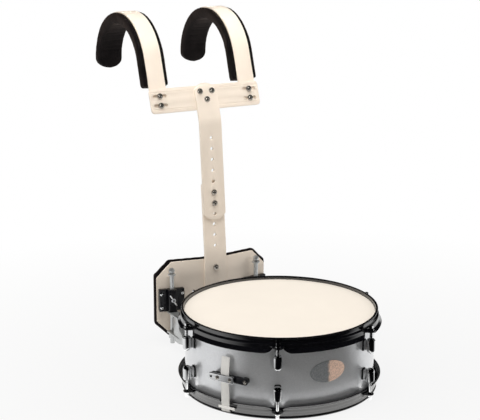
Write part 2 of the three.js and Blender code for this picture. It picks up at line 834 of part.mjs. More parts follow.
// Side view of a bar: a strip from front points that keeps its thickness along Y
function barSolid(frontPoints, thicknessAt, endRise) {
  const back = frontPoints.map(([y, z], i) => [y + thicknessAt[i], z]).reverse();
  const [first, last] = [frontPoints[0], frontPoints[frontPoints.length - 1]];
  const outline = barOutline(first[1], last[1], endRise);
  const room = facingPlate(outline, first[0] - barWidth, last[0] - first[0] + 2 * barWidth);
  return sidePlate([...frontPoints, ...back], 0, barWidth).intersect(room);
}

const leanThickness = barThickness / Math.cos(barLean);
const topThickness = barThickness / Math.cos(topLean);
const headZ = upperBarBend + upperBarHead * Math.cos(topLean);
const headY = bendY + upperBarHead * Math.sin(topLean);
const holeRise = holePitch * Math.cos(barLean);
const leanDegrees = THREE.MathUtils.radToDeg(barLean);
const topLeanDegrees = THREE.MathUtils.radToDeg(topLean);
const acrossLean = (solid, frontY, z) => moved(solid.rotate([-leanDegrees, 0, 0]), 0, frontY, z);
const holeCutter = aimedBack(pin(holeRadius, -overrun, barThickness + overrun));

let lowerBar = barSolid(
  [[lowerFront, lowerBarBottom], [lowerFront, lowerBarBend], [lowerFrontAt(lowerBarTop), lowerBarTop]],
  [barThickness, barThickness, leanThickness],
  barEndRise,
);
const boltHoles = [1, 2]; // counted up from the upper bar's lowest hole
const barBolt = bolt(2 * barThickness + 2 * gap + boltTail);
for (let i = -lowerHolesBelow; i < lowerHoleCount - lowerHolesBelow; i += 1) {
  const z = firstHole + i * holeRise;
  if (boltHoles.includes(i)) {
    const seat = upperFrontAt(z) - gap / Math.cos(barLean);
    lowerBar = lowerBar.add(acrossLean(barBolt, seat, z));
  } else {
    lowerBar = lowerBar.subtract(acrossLean(holeCutter, lowerFrontAt(z), z));
  }
}
for (const z of [plateBoltHigh, plateBoltLow]) {
  lowerBar = lowerBar.subtract(moved(holeCutter, 0, lowerFront, z));
}
addPiece(object, 'lower_bar', lowerBar, whitePaint);

let upperBar = barSolid(
  [[upperFrontAt(upperBarBottom), upperBarBottom], [bendY, upperBarBend], [headY, headZ]],
  [leanThickness, (leanThickness + topThickness) / 2, topThickness],
  barEndRise,
);
for (let i = 0; i < upperHoleCount; i += 1) {
  const z = firstHole + i * holeRise;
  upperBar = upperBar.subtract(acrossLean(holeCutter, upperFrontAt(z), z));
}

// The tilted frame of the crossbar: its origin is on the upper bar's front face at the crossbar's middle
const tilted = new THREE.Group();
tilted.rotation.x = -topLean;
tilted.position.set(
  0,
  bendY + crossCentre * Math.sin(topLean),
  upperBarBend + crossCentre * Math.cos(topLean),
);
object.add(tilted);
const crossFront = barThickness + gap;
const crossBack = crossFront + crossThickness;
const crossBoltPlaces = [[-crossBoltX, crossBoltHigh], [crossBoltX, crossBoltHigh], [0, crossBoltLow]];
const crossBolt = bolt(crossBack + gap + boltTail);
for (const [x, z] of crossBoltPlaces) {
  const place = moved(crossBolt, x, 0, z).rotate([-topLeanDegrees, 0, 0]);
  upperBar = upperBar.add(moved(place, tilted.position.x, tilted.position.y, tilted.position.z));
}
addPiece(object, 'upper_bar', upperBar, whitePaint);

// Crossbar: a plate with bolt holes and four slots
const crossOutline = roundedOutline(
  -crossLength / 2, crossLength / 2, -crossHeight / 2, crossHeight / 2, crossCorner,
);
for (const [x, z] of crossBoltPlaces) {
  const hole = new THREE.Path();
  hole.absarc(x, z, holeRadius, 0, 2 * Math.PI, true);
  crossOutline.holes.push(hole);
}
for (const side of [-1, 1]) {
  for (const z of [-slotStep, slotStep]) {
    const reach = (slotLength - slotWidth) / 2;
    const slot = new THREE.Path();
    slot.absarc(side * slotX + reach, z, slotWidth / 2, Math.PI / 2, -Math.PI / 2, true);
    slot.absarc(side * slotX - reach, z, slotWidth / 2, -Math.PI / 2, -1.5 * Math.PI, true);
    crossOutline.holes.push(slot);
  }
}
addPiece(tilted, 'crossbar', facingPlate(crossOutline, crossFront, crossThickness, pinSides / 2), whitePaint);

// Shoulder arch in the Y and Z plane: a leg in the crossbar's lean, an arc of an ellipse and a straight end
const footZ = tilted.position.z - strapBarFoot * Math.cos(topLean);
const footY = tilted.position.y - strapBarFoot * Math.sin(topLean) + (crossBack + gap) / Math.cos(topLean);
const legAt = (z) => footY + (z - footZ) * Math.tan(topLean);
const startAngle = Math.atan(Math.tan(topLean) * archRise / archHalfSpan);
const archStart = archBase + archRise * Math.sin(startAngle);
const archMiddle = legAt(archStart) + archHalfSpan * Math.cos(startAngle);

function archStations(depths, startZ) {
  const list = [];
  const push = (y, z, ny, nz, share = 1) => list.push(depths.map(([depth, half]) => (
    [half * share, y - ny * depth, z - nz * depth]
  )));
  push(legAt(startZ), startZ, -Math.cos(topLean), Math.sin(topLean));
  for (let i = 0; i <= archSteps; i += 1) {
    const t = startAngle + (Math.PI - startAngle) * i / archSteps;
    const normal = new THREE.Vector2(-Math.cos(t) * archRise, Math.sin(t) * archHalfSpan).normalize();
    push(archMiddle - archHalfSpan * Math.cos(t), archBase + archRise * Math.sin(t), normal.x, normal.y);
  }
  const endY = archMiddle + archHalfSpan;
  for (let i = 1; i <= endSteps; i += 1) {
    const turn = Math.PI / 2 * i / (endSteps + 0.5);
    push(endY, archBase - archTail * Math.sin(turn), 1, 0, Math.cos(turn));
  }
  return list;
}

// Closed slab: each station is a list of [half width, y, z], from its outer face to its inner face
function slab(stations) {
  const corners = [];
  const levels = stations[0].length;
  const round = levels * 2;
  for (const station of stations) {
    station.forEach(([half, y, z]) => corners.push(half, y, z));
    station.toReversed().forEach(([half, y, z]) => corners.push(-half, y, z));
  }
  const index = [];
  const quad = (a, b, c, d) => index.push(a, b, c, a, c, d);
  const last = (stations.length - 1) * round;
  for (let i = 0; i < last; i += round) {
    for (let k = 0; k < round; k += 1) {
      const next = (k + 1) % round;
      quad(i + k, i + round + k, i + round + next, i + next);
    }
  }
  for (let k = 0; k < levels - 1; k += 1) {
    quad(k, k + 1, round - 2 - k, round - 1 - k);
    quad(last + k, last + round - 1 - k, last + round - 2 - k, last + k + 1);
  }
  const geometry = new THREE.BufferGeometry();
  geometry.setAttribute('position', new THREE.BufferAttribute(new Float32Array(corners), 3));
  geometry.setIndex(index);
  return toSolid(geometry);
}

const slotRows = [[-slotStep, 'lower'], [slotStep, 'upper']];
const crossTopZ = tilted.position.z + crossHeight / 2 * Math.cos(topLean);
const strapBarHalf = strapBarWidth / 2;
const shoulderPadHalf = shoulderPadWidth / 2;
const shoulderPadFace = strapBarThickness + gap;
const shoulderPadBack = shoulderPadFace + shoulderPadThickness;
let strapBar = slab(archStations([[0, strapBarHalf], [strapBarThickness, strapBarHalf]], footZ));
const shoulderPad = slab(archStations([
  [shoulderPadFace, shoulderPadHalf],
  [shoulderPadBack - shoulderPadCrown, shoulderPadHalf],
  [shoulderPadBack, shoulderPadHalf - shoulderPadCrown],
], crossTopZ + padFootClearance));
const slotBolt = bolt(crossThickness + strapBarThickness + 2 * gap + boltTail);
for (const [z] of slotRows) {
  const bore = moved(aimedBack(pin(boltRadius + gap, 0, crossBack + barWidth)), 0, 0, z);
  const place = bore.rotate([-topLeanDegrees, 0, 0]);
  strapBar = strapBar.subtract(moved(place, 0, tilted.position.y, tilted.position.z));
}
for (const [side, word] of [[-1, 'right'], [1, 'left']]) {
  for (const [z, row] of slotRows) {
    const place = [side * slotX, crossFront - gap, z];
    addPiece(tilted, `${word}_shoulder_bolt_${row}`, moved(slotBolt, ...place), darkChrome);
  }
  addPiece(object, `${word}_shoulder_bar`, moved(strapBar, side * slotX, 0, 0), whitePaint);
  addPiece(object, `${word}_shoulder_pad`, moved(shoulderPad, side * slotX, 0, 0), blackFoam);
}

// Clamp blocks on the wings, with the J rods, their wing screws and the hangers
const rodAcross = (jRodX - plateHalfFlat) * Math.sin(wingAngle) - (jRodY - plateY) * Math.cos(wingAngle);
const rodAlong = (jRodX - plateHalfFlat) * Math.cos(wingAngle) + (jRodY - plateY) * Math.sin(wingAngle);
const blockBottom = blockTop - blockHeight;
const blockMiddle = (blockTop + blockBottom) / 2;
const bossFront = -rodAcross - jRodRadius - boreGap - bossWall;
const screwZ = blockMiddle + wingScrewRise;
const tabTopDrop = gap + hangerSheet - blockBottom; // underside of the tab that the block stands on

const ballMiddle = jRodTop + jBallRadius - gap;
const ballPoints = Array.from({ length: ballSteps }, (_, i) => {
  const turn = Math.PI * ((i + 1) / ballSteps - 0.5);
  return [i === ballSteps - 1 ? 0 : jBallRadius * Math.cos(turn), ballMiddle + jBallRadius * Math.sin(turn)];
});
const jRod = turned([
  [0, jRodBottom],
  [jRodRadius, jRodBottom],
  [jRodRadius, -tabBottomDrop - hangerSheet - gap - jNutHeight],
  [jNutRadius, -tabBottomDrop - hangerSheet - gap - jNutHeight],
  [jNutRadius, -tabBottomDrop - hangerSheet - gap],
  [jRodRadius, -tabBottomDrop - hangerSheet - gap],
  [jRodRadius, jRodTop - jCollarHeight],
  [jCollarRadius, jRodTop - jCollarHeight],
  [jCollarRadius, jRodTop],
  ...ballPoints,
], roundSides);

function clampBlock() {
  const outline = roundedOutline(-blockWidth / 2, blockWidth / 2, blockBottom, blockTop, blockCorner);
  const screw = bolt(gap, blockScrewRadius / 2, blockScrewRadius, blockScrewHeight);
  const screwPlaces = [-1, 1].flatMap((x) => [-1, 1].map((z) => [x * blockScrewX, z * blockScrewZ]));
  return joined(
    facingPlate(outline, -blockThickness, blockThickness - gap),
    block(-bossWidth / 2, bossWidth / 2, bossFront, -gap, blockBottom, blockTop),
    ...screwPlaces.map(([x, z]) => moved(screw, x, -blockThickness, blockMiddle + z)),
  ).subtract(moved(
    pin(jRodRadius + boreGap, blockBottom - overrun, blockTop + overrun, roundSides), 0, -rodAcross, 0,
  )).subtract(moved(
    aimedBack(pin(wingScrewRadius + boreGap, bossFront - overrun, -rodAcross)), 0, 0, screwZ,
  ));
}

function wingScrew() {
  const spindleEnd = -rodAcross - jRodRadius - gap * 2;
  const collarFront = bossFront - gap - wingCollarLength;
  const bar = aimedRight(pin(wingBarRadius, -wingBarLength / 2, wingBarLength / 2));
  return joined(
    aimedBack(pin(wingScrewRadius, collarFront, spindleEnd)),
    aimedBack(pin(wingCollarRadius, collarFront, bossFront - gap)),
    moved(bar.rotate([0, THREE.MathUtils.radToDeg(wingTurn), 0]), 0, collarFront + wingCollarLength / 2, 0),
  );
}

function hanger() {
  const outline = [
    [webBack, -tabTopDrop + hangerSheet],
    [webFront, -tabTopDrop + hangerSheet],
    [webFront, -forkShoulder],
    [forkHeel, -bottomLugDrop - lugHeight - gap],
    [forkTip, -bottomLugDrop - lugHeight - gap],
    [forkTip, -bottomLugDrop - lugHeight - gap - forkTipDepth],
    [forkNeck, -bottomLugDrop - lugHeight - gap - forkNeckDepth],
    [webFront, -webBottom],
    [webBack, -webBottom],
  ];
  const cheekMiddle = hangerHalfGap + hangerSheet / 2;
  const tab = (drop) => block(
    -tabHalfWidth, tabHalfWidth, webFront, jRodY + tabReach, -drop - hangerSheet, -drop,
  );
  const web = block(
    -cheekMiddle, cheekMiddle, webFront, webFront + hangerSheet, -webBottom, -tabTopDrop + hangerSheet,
  );
  return joined(
    sidePlate(outline, -cheekMiddle, hangerSheet),
    sidePlate(outline, cheekMiddle, hangerSheet),
    web,
    tab(tabTopDrop - hangerSheet),
    tab(tabBottomDrop),
  ).subtract(moved(pin(jRodRadius + boreGap, -webBottom, 0, roundSides), 0, jRodY, 0));
}

for (const [side, word] of [[-1, 'right'], [1, 'left']]) {
  const wing = new THREE.Group();
  wing.rotation.z = side * wingAngle;
  wing.position.set(side * plateHalfFlat, plateY, 0);
  object.add(wing);
  addPiece(wing, `${word}_clamp_block`, moved(clampBlock(), side * rodAlong, 0, 0), blackEnamel);
  addPiece(wing, `${word}_wing_screw`, moved(wingScrew(), side * rodAlong, 0, screwZ), chrome);
  addPiece(object, `${word}_j_rod`, moved(jRod, side * jRodX, jRodY, 0), chrome);
  addPiece(object, `${word}_hanger`, moved(hanger(), side * jRodX, 0, 0), chrome);
}

export default object;
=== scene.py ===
"""Marching snare drum on a shoulder carrier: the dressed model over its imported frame."""

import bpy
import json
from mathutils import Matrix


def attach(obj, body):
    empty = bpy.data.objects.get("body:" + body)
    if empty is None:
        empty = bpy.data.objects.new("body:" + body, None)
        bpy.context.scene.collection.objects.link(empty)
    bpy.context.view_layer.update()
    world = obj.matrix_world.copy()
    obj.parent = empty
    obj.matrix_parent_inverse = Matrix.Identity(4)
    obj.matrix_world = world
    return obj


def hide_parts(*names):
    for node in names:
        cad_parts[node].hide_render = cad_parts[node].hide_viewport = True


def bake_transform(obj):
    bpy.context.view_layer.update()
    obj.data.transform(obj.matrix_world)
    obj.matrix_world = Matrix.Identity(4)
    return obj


bl_info = {
    "name": "Marching Snare Drum",
    "version": (1, 0, 0),
    "blender": (4, 5, 0),
    "location": "3D View > Sidebar > Snare",
    "description": "Builds a marching snare drum with its shoulder carrier, piece by piece",
    "category": "Add Mesh",
}

import json
import math

import bmesh
import bpy
import numpy as np
from mathutils import Matrix, Vector
from mathutils.geometry import tessellate_polygon

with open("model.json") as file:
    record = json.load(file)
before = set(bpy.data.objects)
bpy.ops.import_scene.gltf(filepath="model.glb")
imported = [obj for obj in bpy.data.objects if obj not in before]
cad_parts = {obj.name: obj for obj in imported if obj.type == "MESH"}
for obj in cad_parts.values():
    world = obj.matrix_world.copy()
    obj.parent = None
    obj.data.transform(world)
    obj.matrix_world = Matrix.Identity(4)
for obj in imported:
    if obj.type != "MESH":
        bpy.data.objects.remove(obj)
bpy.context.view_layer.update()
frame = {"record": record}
BODY_OF = {node: body for body, nodes in frame["record"]["behaviour"]["bodies"].items() for node in nodes}

# All sizes are in millimetres, and a finished mesh is turned to metres. The origin is the centre of
# the playing surface. The player stands on the +Y side, and azimuth is counted from the front (-Y).
METRE = 0.001
gap = 0.3
bore_clearance = 0.4
sheet_edge = 0.6
fine_edge = 0.4
cast_edge = 0.9
paint_edge = 0.7

# Shell and heads
shell_radius = 177.5
shell_wall = 7.0
shell_easing = 0.8
drum_segments = 256
head_span = 139.8
head_rings = (60.0, 120.0)
film = 0.8
film_bend = 2.0
bearing_flat = 1.5
bearing_bevel = 5.5
collar_wall = 0.7
flesh_width = 4.0
flesh_height = 7.7
flesh_drop = 6.8
flesh_corner = 0.8
flesh_inner_corner = 0.5
# Points of the collar: over the edge, on its outer face and on its inner face, each with its drop
collar_edge = ((-6.0, 0.0), (-film_bend, 0.02), (0.0, 0.1), (1.2, 0.35))
collar_outside = ((0.3, 0.9), (0.0, 1.8))
collar_inside = ((0.0, 1.6), (0.6, 1.0))
collar_outer = shell_radius + gap + collar_wall
flesh_outer = collar_outer + flesh_width

# Hoops
sheet = 2.2
lip_rise = 6.0
lip_width = 4.6
skirt_drop = 20.5
skirt_flare = 5.3
ear_drop = 8.5
ear_width = 18.0
ear_reach = 7.5
notch_wide = 25.0
notch_narrow = 8.5
notch_foot = 15.5
notch_rise = 12.8
notch_power = 1.5
notch_steps = 12
ear_notch_top = 11.0
step_straight = 9.5
hoop_segments = 240
least_turn = 0.01
gate_step = 0.05
rim_corner = 0.2
rim_crown = 0.35
rim_rise = 0.45
step_corner = 0.9
wall_inner = collar_outer + gap
wall_outer = wall_inner + sheet
lip_outer = wall_inner + lip_width
hoop_inner = flesh_outer + gap
hoop_outer = hoop_inner + sheet
step_under = -flesh_drop + gap
step_top = step_under + sheet
flare_start = step_top - step_straight
skirt_outer = hoop_outer + skirt_flare
# Points of the lip and the step below it: how far in or out of a face, and how far from its height
lip_inside = ((0.0, 1.4), (0.3, 0.6), (1.0, 0.12), (1.9, 0.0))
lip_roll = ((1.5, 0.0), (0.7, 0.25), (0.15, 0.8), (0.0, 1.5), (0.15, 2.1), (0.7, 2.5))
lip_neck = ((0.4, 2.8), (0.0, 3.4))
step_inside = ((0.0, 1.2), (0.35, 0.35), (1.2, 0.0))
step_outside = ((1.4, 0.0), (0.5, 0.4), (0.0, 1.4))
skirt_shares = (0.2, 0.4, 0.56, 0.6, 0.63, 0.68, 0.78, 0.88, 0.95, 1.0)
ear_root = ((7.0, 0.0), (3.2, 1.4), (0.9, 3.6))

# Rods and lugs
rod_circle = 192.0
rod_radius = 3.0
lug_count = 6
lug_step = 60.0
first_lug = -150.0
lug_radius = 7.85
lug_height = 27.0
lug_corner = 0.5
lug_mouth_radius = 6.6
lug_mouth_height = 1.6
lug_mouth_corner = 0.3
lug_dome = 8.0
lug_dome_power = 0.85
lug_dome_steps = 11
lug_bore = 20.0
top_lug_drop = 24.5
bottom_lug_drop = 80.0
lug_foot_inset = 4.0
lug_foot_width = 9.6
lug_foot_height = 19.0
lug_foot_corner = 2.5
lug_foot_stand = 2.2
gasket_side = 1.3
gasket_end = 1.6
gasket_corner = 3.5
gasket_thickness = 1.7
gasket_stand = 0.2
gasket_bends = (-4.0, -2.0, 0.0, 2.0, 4.0)
rod_engagement = 16.0
rod_chamfer = 0.5
rod_lead = 1.0
thread_depth = 0.25
thread_length = 24.0
thread_coil_inset = 0.28
thread_wire = 0.26
thread_start = 0.8
washer_radius = 5.4
washer_height = 1.4
flange_radius = 4.8
flange_top_radius = 4.0
flange_rim = 1.2
flange_height = 2.6
key_side = 6.2
key_height = 5.6
key_sunk = 0.5
key_corner = 0.8
key_edge = 0.7
shank_edge = 0.3
flange_edge = 0.5

# Badge
badge_half_width = 35.5
badge_half_height = 20.0
badge_drop = 65.0
badge_thickness = 0.9
badge_sides = 64
badge_bend_step = 4.0

# Snare side
butt_azimuth = -60.0
strainer_azimuth = 120.0
strand_count = 20
strand_pitch = 2.1
strand_span = 300.0
strand_end = 3.0
wire_top = -head_span - gap
wire_plate = 1.2
wire_plate_lap = 6.0
wire_plate_length = 16.0
wire_plate_side = 2.7
wire_plate_corner = 1.5
wire_plate_holes = (-16.0, -6.0, 6.0, 16.0)
wire_hole_radius = 1.3
wire_hole_out = 3.0
wire_plate_inner = strand_span / 2 - wire_plate_lap
wire_plate_outer = wire_plate_inner + wire_plate_length
strap_width = 17.0
strap_thickness = 1.0
strap_corner = 1.2
strip_edge = 0.3
strap_lap = 12.0
strap_straight = 6.0
strap_bend = ((0.0, 4.5), (0.5, 1.8), (1.8, 0.4), (4.0, 0.0))
strap_middle = wire_top - wire_plate - gap - strap_thickness / 2
strap_run = hoop_outer + gap + strap_thickness
gate_clearance = 2.6
gate_half = strap_width / 2 + gate_clearance
gate_bar = (-13.0, 21.0, -135.0, -130.5)
gate_bar_thickness = 3.0
gate_bar_corner = 0.9

# Butt plate
butt_drop = 77.5
butt_stand = 187.0
butt_height = 13.0
butt_thickness = 5.0
butt_corner = 6.4
butt_ends = (-32.0, 46.0)
butt_screw_x = 41.0
post_places = (-22.0, 38.0)
post_half = 6.0
post_inset = 1.5
post_corner = 4.0
post_depth = 8.0
post_start = 4.0
clamp_ends = (-31.0, 21.0)
clamp_height = 14.0
clamp_thickness = 4.5
clamp_corner = 3.5
clamp_edge = 1.1
clamp_hole_x = -26.0
clamp_hole_radius = 1.6
clamp_screw_x = 13.0
clamp_face = butt_stand + 2 * gap + strap_thickness
clamp_front = -clamp_face - clamp_thickness
small_screw = (3.6, 2.6, 1.512)
tail_top_drop = 38.0
tail_lean = 3.3

# Strainer
strainer_stand = 191.0
strainer_top = -38.0
strainer_bottom = -96.0
strainer_half_width = 17.0
strainer_depth = 14.4
strainer_corner = 4.0
strainer_edge = 1.2
cheek_half = 7.5
cheek_corner = 6.0
cheek_thickness = 3.4
cheek_stand = 5.5
pivot_cap = ((0.0, 0.0), (3.6, 0.0), (3.6, 1.0), (2.4, 1.6), (0.0, 1.6))
cap_out = 1.5
rail_side = 4.0
rail_foot = 4.0
rail_corner = 0.8
rail_edge = 0.7
pivot_drop = 56.0
pivot_y = -199.0
pivot_radius = 2.4
pivot_half_length = 13.0
lever_width = 19.0
lever_tip_half = 5.7
lever_thickness = 3.4
lever_boss = 5.6
lever_bore = 2.8
lever_length = 46.0
lever_corner = 4.0
lever_edge = 0.6
slider_width = 24.0
slider_thickness = 3.4
slider_corner = 1.5
slider_ends = (-101.0, -72.0)
knob_out = 187.4
knob_radius = 8.0
knob_height = 8.6
knob_rim = 1.2
knob_ribs = 16
knob_rib_share = 0.05
knob_edge = 1.0
stem_radius = 2.5
stem_length = 12.0

# Belly plate and pad
plate_y = 270.3
plate_thickness = 3.0
plate_top = 26.5
plate_bottom = -127.0
plate_flat = 30.0
plate_half_width = 122.5
plate_corner = 31.0
plate_easing = 1.8
wing_lean = 10.0
wing_angle = math.radians(wing_lean)
fold_reach = 6.0
pad_thickness = 10.0
pad_margin = 4.5
pad_crown = 1.0
belly_pad_lap = 0.8
belly_pad_edge = 1.4
plate_bolts = (8.0, -32.0)

# Upright bars
bar_width = 48.0
bar_thickness = 5.0
bar_lean = math.radians(5.5)
top_lean = math.radians(20)
bend_reach = 8.0
bend_step = 2.0
lower_bar_ends = (-52.0, 189.0)
lower_bar_bend = 40.0
upper_bar_bottom = 107.0
upper_bar_bend = 305.3
upper_bar_head = 77.0
bar_end_rise = 12.0
edge_share = 1.2
hole_pitch = 22.0
hole_rise = hole_pitch * math.cos(bar_lean)
hole_radius = 3.3
first_hole = 118.7
lower_front = plate_y - gap - bar_thickness

# Fixings
# Radius, height and socket or bore of the carrier's fixings
bolt_head = (6.2, 4.6, 2.3)
carrier_nut = (5.4, 2.7, 2.7)
block_screw = (4.0, 3.0, 1.7)
# A bolt head's dome and the lip of its socket, as shares of its radius or socket and of its height
dome_shares = ((1.0, 0.0), (1.0, 0.26), (0.95, 0.46), (0.82, 0.7), (0.62, 0.9))
lip_shares = ((1.12, 1.0), (1.0, 0.95))
socket_depth_share = 0.55
socket_wall_shares = (0.9, 1.05)
socket_top_share = 0.97

# Crossbar
cross_half_length = 120.0
cross_half_height = 24.5
cross_thickness = 4.0
cross_corner = 8.0
cross_centre = 49.6
cross_front = bar_thickness + gap
cross_back = cross_front + cross_thickness
slot_x = 98.5
slot_step = 9.3
slot_half_length = 14.5
slot_half_width = 3.5
cross_bolts = ((-12.9, 11.4), (12.9, 11.4), (0.0, -5.4))
ridge_z = 17.2
ridge_cuts = (-1.1, -0.45, 0.45, 1.1)
ridge_half = 0.6
ridge_end = 0.2
ridge_skin = 0.3

# Shoulder bars and pads
arch_half_span = 122.0
arch_rise = 111.0
arch_base = 399.0
arch_tail = 19.0
arch_steps = 72
strip_steps = 90
strap_bar_width = 36.0
strap_bar_thickness = 4.0
strap_bar_foot = 15.0
strap_bar_corner = 4.0
shoulder_pad_width = 48.0
shoulder_pad_thickness = 18.0
shoulder_pad_side = 3.2
shoulder_pad_lead = 2.5
shoulder_pad_short = 0.5
shoulder_pad_edge = 2.6
shoulder_pad_clearance = 5.0
lap_start = 0.8
lap_width = 2.2
lap_rise = 2.8

# Clamp blocks, J rods and hangers
j_rod_x = 95.5
j_rod_y = 271.5
j_rod_radius = 4.5
j_rod_top = 5.5
j_rod_bottom = -141.0
j_rod_collar = 3.0
j_rod_collar_radius = 8.0
j_rod_edge = 0.8
ball_radius = 6.2
ball_rise = 5.9
ball_turn = 1.4
ball_seat = 3.4
rod_nut = (8.0, 11.0, 4.3)
block_width = 52.0
block_top = -27.0
block_height = 46.0
block_thickness = 10.0
block_corner = 1.5
boss_width = 17.0
boss_wall = 4.0
boss_corner = 2.2
block_screw_x = 21.0
block_screw_z = 14.0
wing_turn = math.radians(60)
wing_screw_rise = 3.0
wing_half_length = 13.5
wing_radius = 2.0
wing_waist = 1.5
collar_height = 5.0
collar_radius = 4.6
screw_reach = 5.1
wing_ring_edge = 0.8
wing_edge = 1.0
tab_drop = 115.0
tab_half = 10.0
tab_reach = 7.5
tab_corner = 5.0
web_front = 223.0
web_back = 248.0
web_bottom = 127.0
web_half = 6.7
web_corner = 1.0
hanger_sheet = 3.0
fork_tip = 158.0
fork_tip_height = 8.0
fork_knee = 184.0
fork_knee_height = 11.0
fork_root = 205.0
fork_root_drop = 97.0
fork_easing = 2.5
rod_across = (j_rod_x - plate_flat) * math.sin(wing_angle) - (j_rod_y - plate_y) * math.cos(wing_angle)
rod_along = (j_rod_x - plate_flat) * math.cos(wing_angle) + (j_rod_y - plate_y) * math.sin(wing_angle)
block_bottom = block_top - block_height
block_middle = (block_top + block_bottom) / 2
boss_front = -rod_across - j_rod_radius - bore_clearance - boss_wall
screw_z = block_middle + wing_screw_rise

# Swelling of the pads
swell_frames = 20
swell_pressure = 4.0
cloth_quality = 5
cloth_mass = 0.3

# Studio, in metres: lamps as (name, place, target, size, power, spread in degrees), and the camera
lamps = (
    ("overhead_softbox", (-0.2, -0.2, 1.85), (0, 0.1, 0.1), 1.3, 28.0, 180),
    ("left_softbox", (-2.4, 0.2, 0.7), (0, 0, 0), 1.2, 22.0, 180),
    ("right_softbox", (2.5, -0.3, 0.6), (0, 0.1, 0.1), 1.4, 28.0, 180),
    ("back_softbox", (0.5, 2.6, 0.8), (0, 0.3, 0.3), 1.2, 10.0, 180),
    ("carrier_softbox", (-0.7, -0.8, 1.5), (0, 0.33, 0.6), 0.32, 0.2, 22),
    ("shell_softbox", (-0.5, -1.9, 0), (0.05, 0, -0.05), 0.5, 0.28, 30),
)
lamp_tint = (1.0, 0.985, 0.96)
world_tint = (1, 0.985, 0.965, 1)
world_strength = 0.17
shadow_reach = (0.25, 1.1)
shadow_share = 0.87
floor_rings = (0.0, 0.4, 1.5, 7.0)
card_rings = (0.18, 0.2, 0.225)
card_lift = 0.0005
dome_reach = 4.0
dome_steps = 12
flag_rings = (0.2, 0.4, 0.7, 3.9)
flag_lift = 0.001
flag_azimuths = (-98, 70)
flag_start = (0.2, 0.28)
flag_sides = ((-90, -60), (64, 44))
camera_place = (-1.2168, -2.1659, 0.838)
camera_right = (0.886, -0.4637, 0.0)
camera_back = (-0.4486, -0.8572, 0.253)
camera_lens = 105.0
camera_sensor = 36.0
camera_clip = (0.05, 50)


def from_hex(text):
    """Linear colour of an sRGB hex value."""
    parts = [int(text[i : i + 2], 16) / 255 for i in (1, 3, 5)]
    return tuple(c / 12.92 if c <= 0.04045 else ((c + 0.055) / 1.055) ** 2.4 for c in parts)


def angles(first, last, steps):
    """Angles from the first to the last, both among them."""
    return [first + (last - first) * k / steps for k in range(steps + 1)]


# Outlines


def eased(points, radius, steps=4):
    """A closed outline with its corners rounded."""
    made = []
    for i, point in enumerate(points):
        here = Vector(point)
        before = Vector(points[i - 1]) - here
        after = Vector(points[(i + 1) % len(points)]) - here
        cut = min(radius, before.length * 0.49, after.length * 0.49)
        start = here + before.normalized() * cut
        end = here + after.normalized() * cut
        for k in range(steps + 1):
            t = k / steps
            made.append(tuple(start * (1 - t) ** 2 + here * (2 * t * (1 - t)) + end * t * t))
    return made


def box_outline(x0, x1, z0, z1, radius):
    return eased([(x0, z0), (x1, z0), (x1, z1), (x0, z1)], radius)


def hole(x, z, radius, sides=24):
    """A round hole, which runs the other way round from an outline."""
    turns = [-2 * math.pi * k / sides for k in range(sides)]
    return [(x + radius * math.cos(t), z + radius * math.sin(t)) for t in turns]


def slot_hole(x, z, half_length, half_width, sides=10):
    reach = half_length - half_width
    made = []
    for side, turn in ((1, math.pi / 2), (-1, -math.pi / 2)):
        for k in range(sides + 1):
            t = turn - math.pi * k / sides
            made.append((x + side * reach + half_width * math.cos(t), z + half_width * math.sin(t)))
    return made


def inset(loop, distance):
    """The loop moved to the left of its run, into the material."""
    points = [Vector(p) for p in loop]
    made = []
    for i, point in enumerate(points):
        before = (point - points[i - 1]).normalized()
        after = (points[(i + 1) % len(points)] - point).normalized()
        side_before = Vector((-before.y, before.x))
        side_after = Vector((-after.y, after.x))
        share = 1 + side_before.dot(side_after)
        made.append(tuple(point + (side_before + side_after) * (distance / max(share, 0.3))))
    return made


# Solids


def bridge(bm, one, other, closed=True):
    """Faces between two rings of points, of which a ring of one point is a tip."""
    count = max(len(one), len(other))
    if count == 1:
        return
    for k in range(count if closed else count - 1):
        ends = (k, (k + 1) % count)
        corners = [one[i] for i in ends] if len(one) > 1 else [one[0]]
        corners += [other[i] for i in reversed(ends)] if len(other) > 1 else [other[0]]
        bm.faces.new(corners)


def plate(loops, thickness, rounding=0.5, steps=2):
    """A plate in X and Z, from its front at Y = 0, with rounded edges and open holes."""
    bm = bmesh.new()
    arc = [math.pi / 2 * k / steps for k in range(steps + 1)]
    levels = [(rounding * (1 - math.sin(a)), rounding * (1 - math.cos(a))) for a in arc]
    levels += [(side, thickness - depth) for side, depth in reversed(levels)]
    front, back, outlines = [], [], []
    for loop in loops:
        rings = []
        for side, depth in levels:
            rings.append([bm.verts.new((x, depth, z)) for x, z in inset(loop, side)])
        for one, other in zip(rings, rings[1:]):
            bridge(bm, one, other)
        outlines.append([Vector((v.co.x, v.co.z, 0)) for v in rings[0]])
        front += rings[0]
        back += rings[-1]
    for a, b, c in tessellate_polygon(outlines):
        bm.faces.new((front[a], front[b], front[c]))
        bm.faces.new((back[a], back[c], back[b]))
    bmesh.ops.recalc_face_normals(bm, faces=bm.faces[:])
    return bm


def turned(profile, segments=48):
    """A round piece about Z from (radius, height) points, closed to a ring where it misses the axis."""
    bm = bmesh.new()
    rings = []
    for radius, z in profile:
        if radius < 1e-6:
            rings.append([bm.verts.new((0, 0, z))])
            continue
        turns = [2 * math.pi * k / segments for k in range(segments)]
        rings.append([bm.verts.new((radius * math.cos(t), radius * math.sin(t), z)) for t in turns])
    pairs = list(zip(rings, rings[1:]))
    if len(rings[0]) > 1 and len(rings[-1]) > 1:
        pairs.append((rings[-1], rings[0]))
    for one, other in pairs:
        bridge(bm, one, other)
    bmesh.ops.recalc_face_normals(bm, faces=bm.faces[:])
    return bm


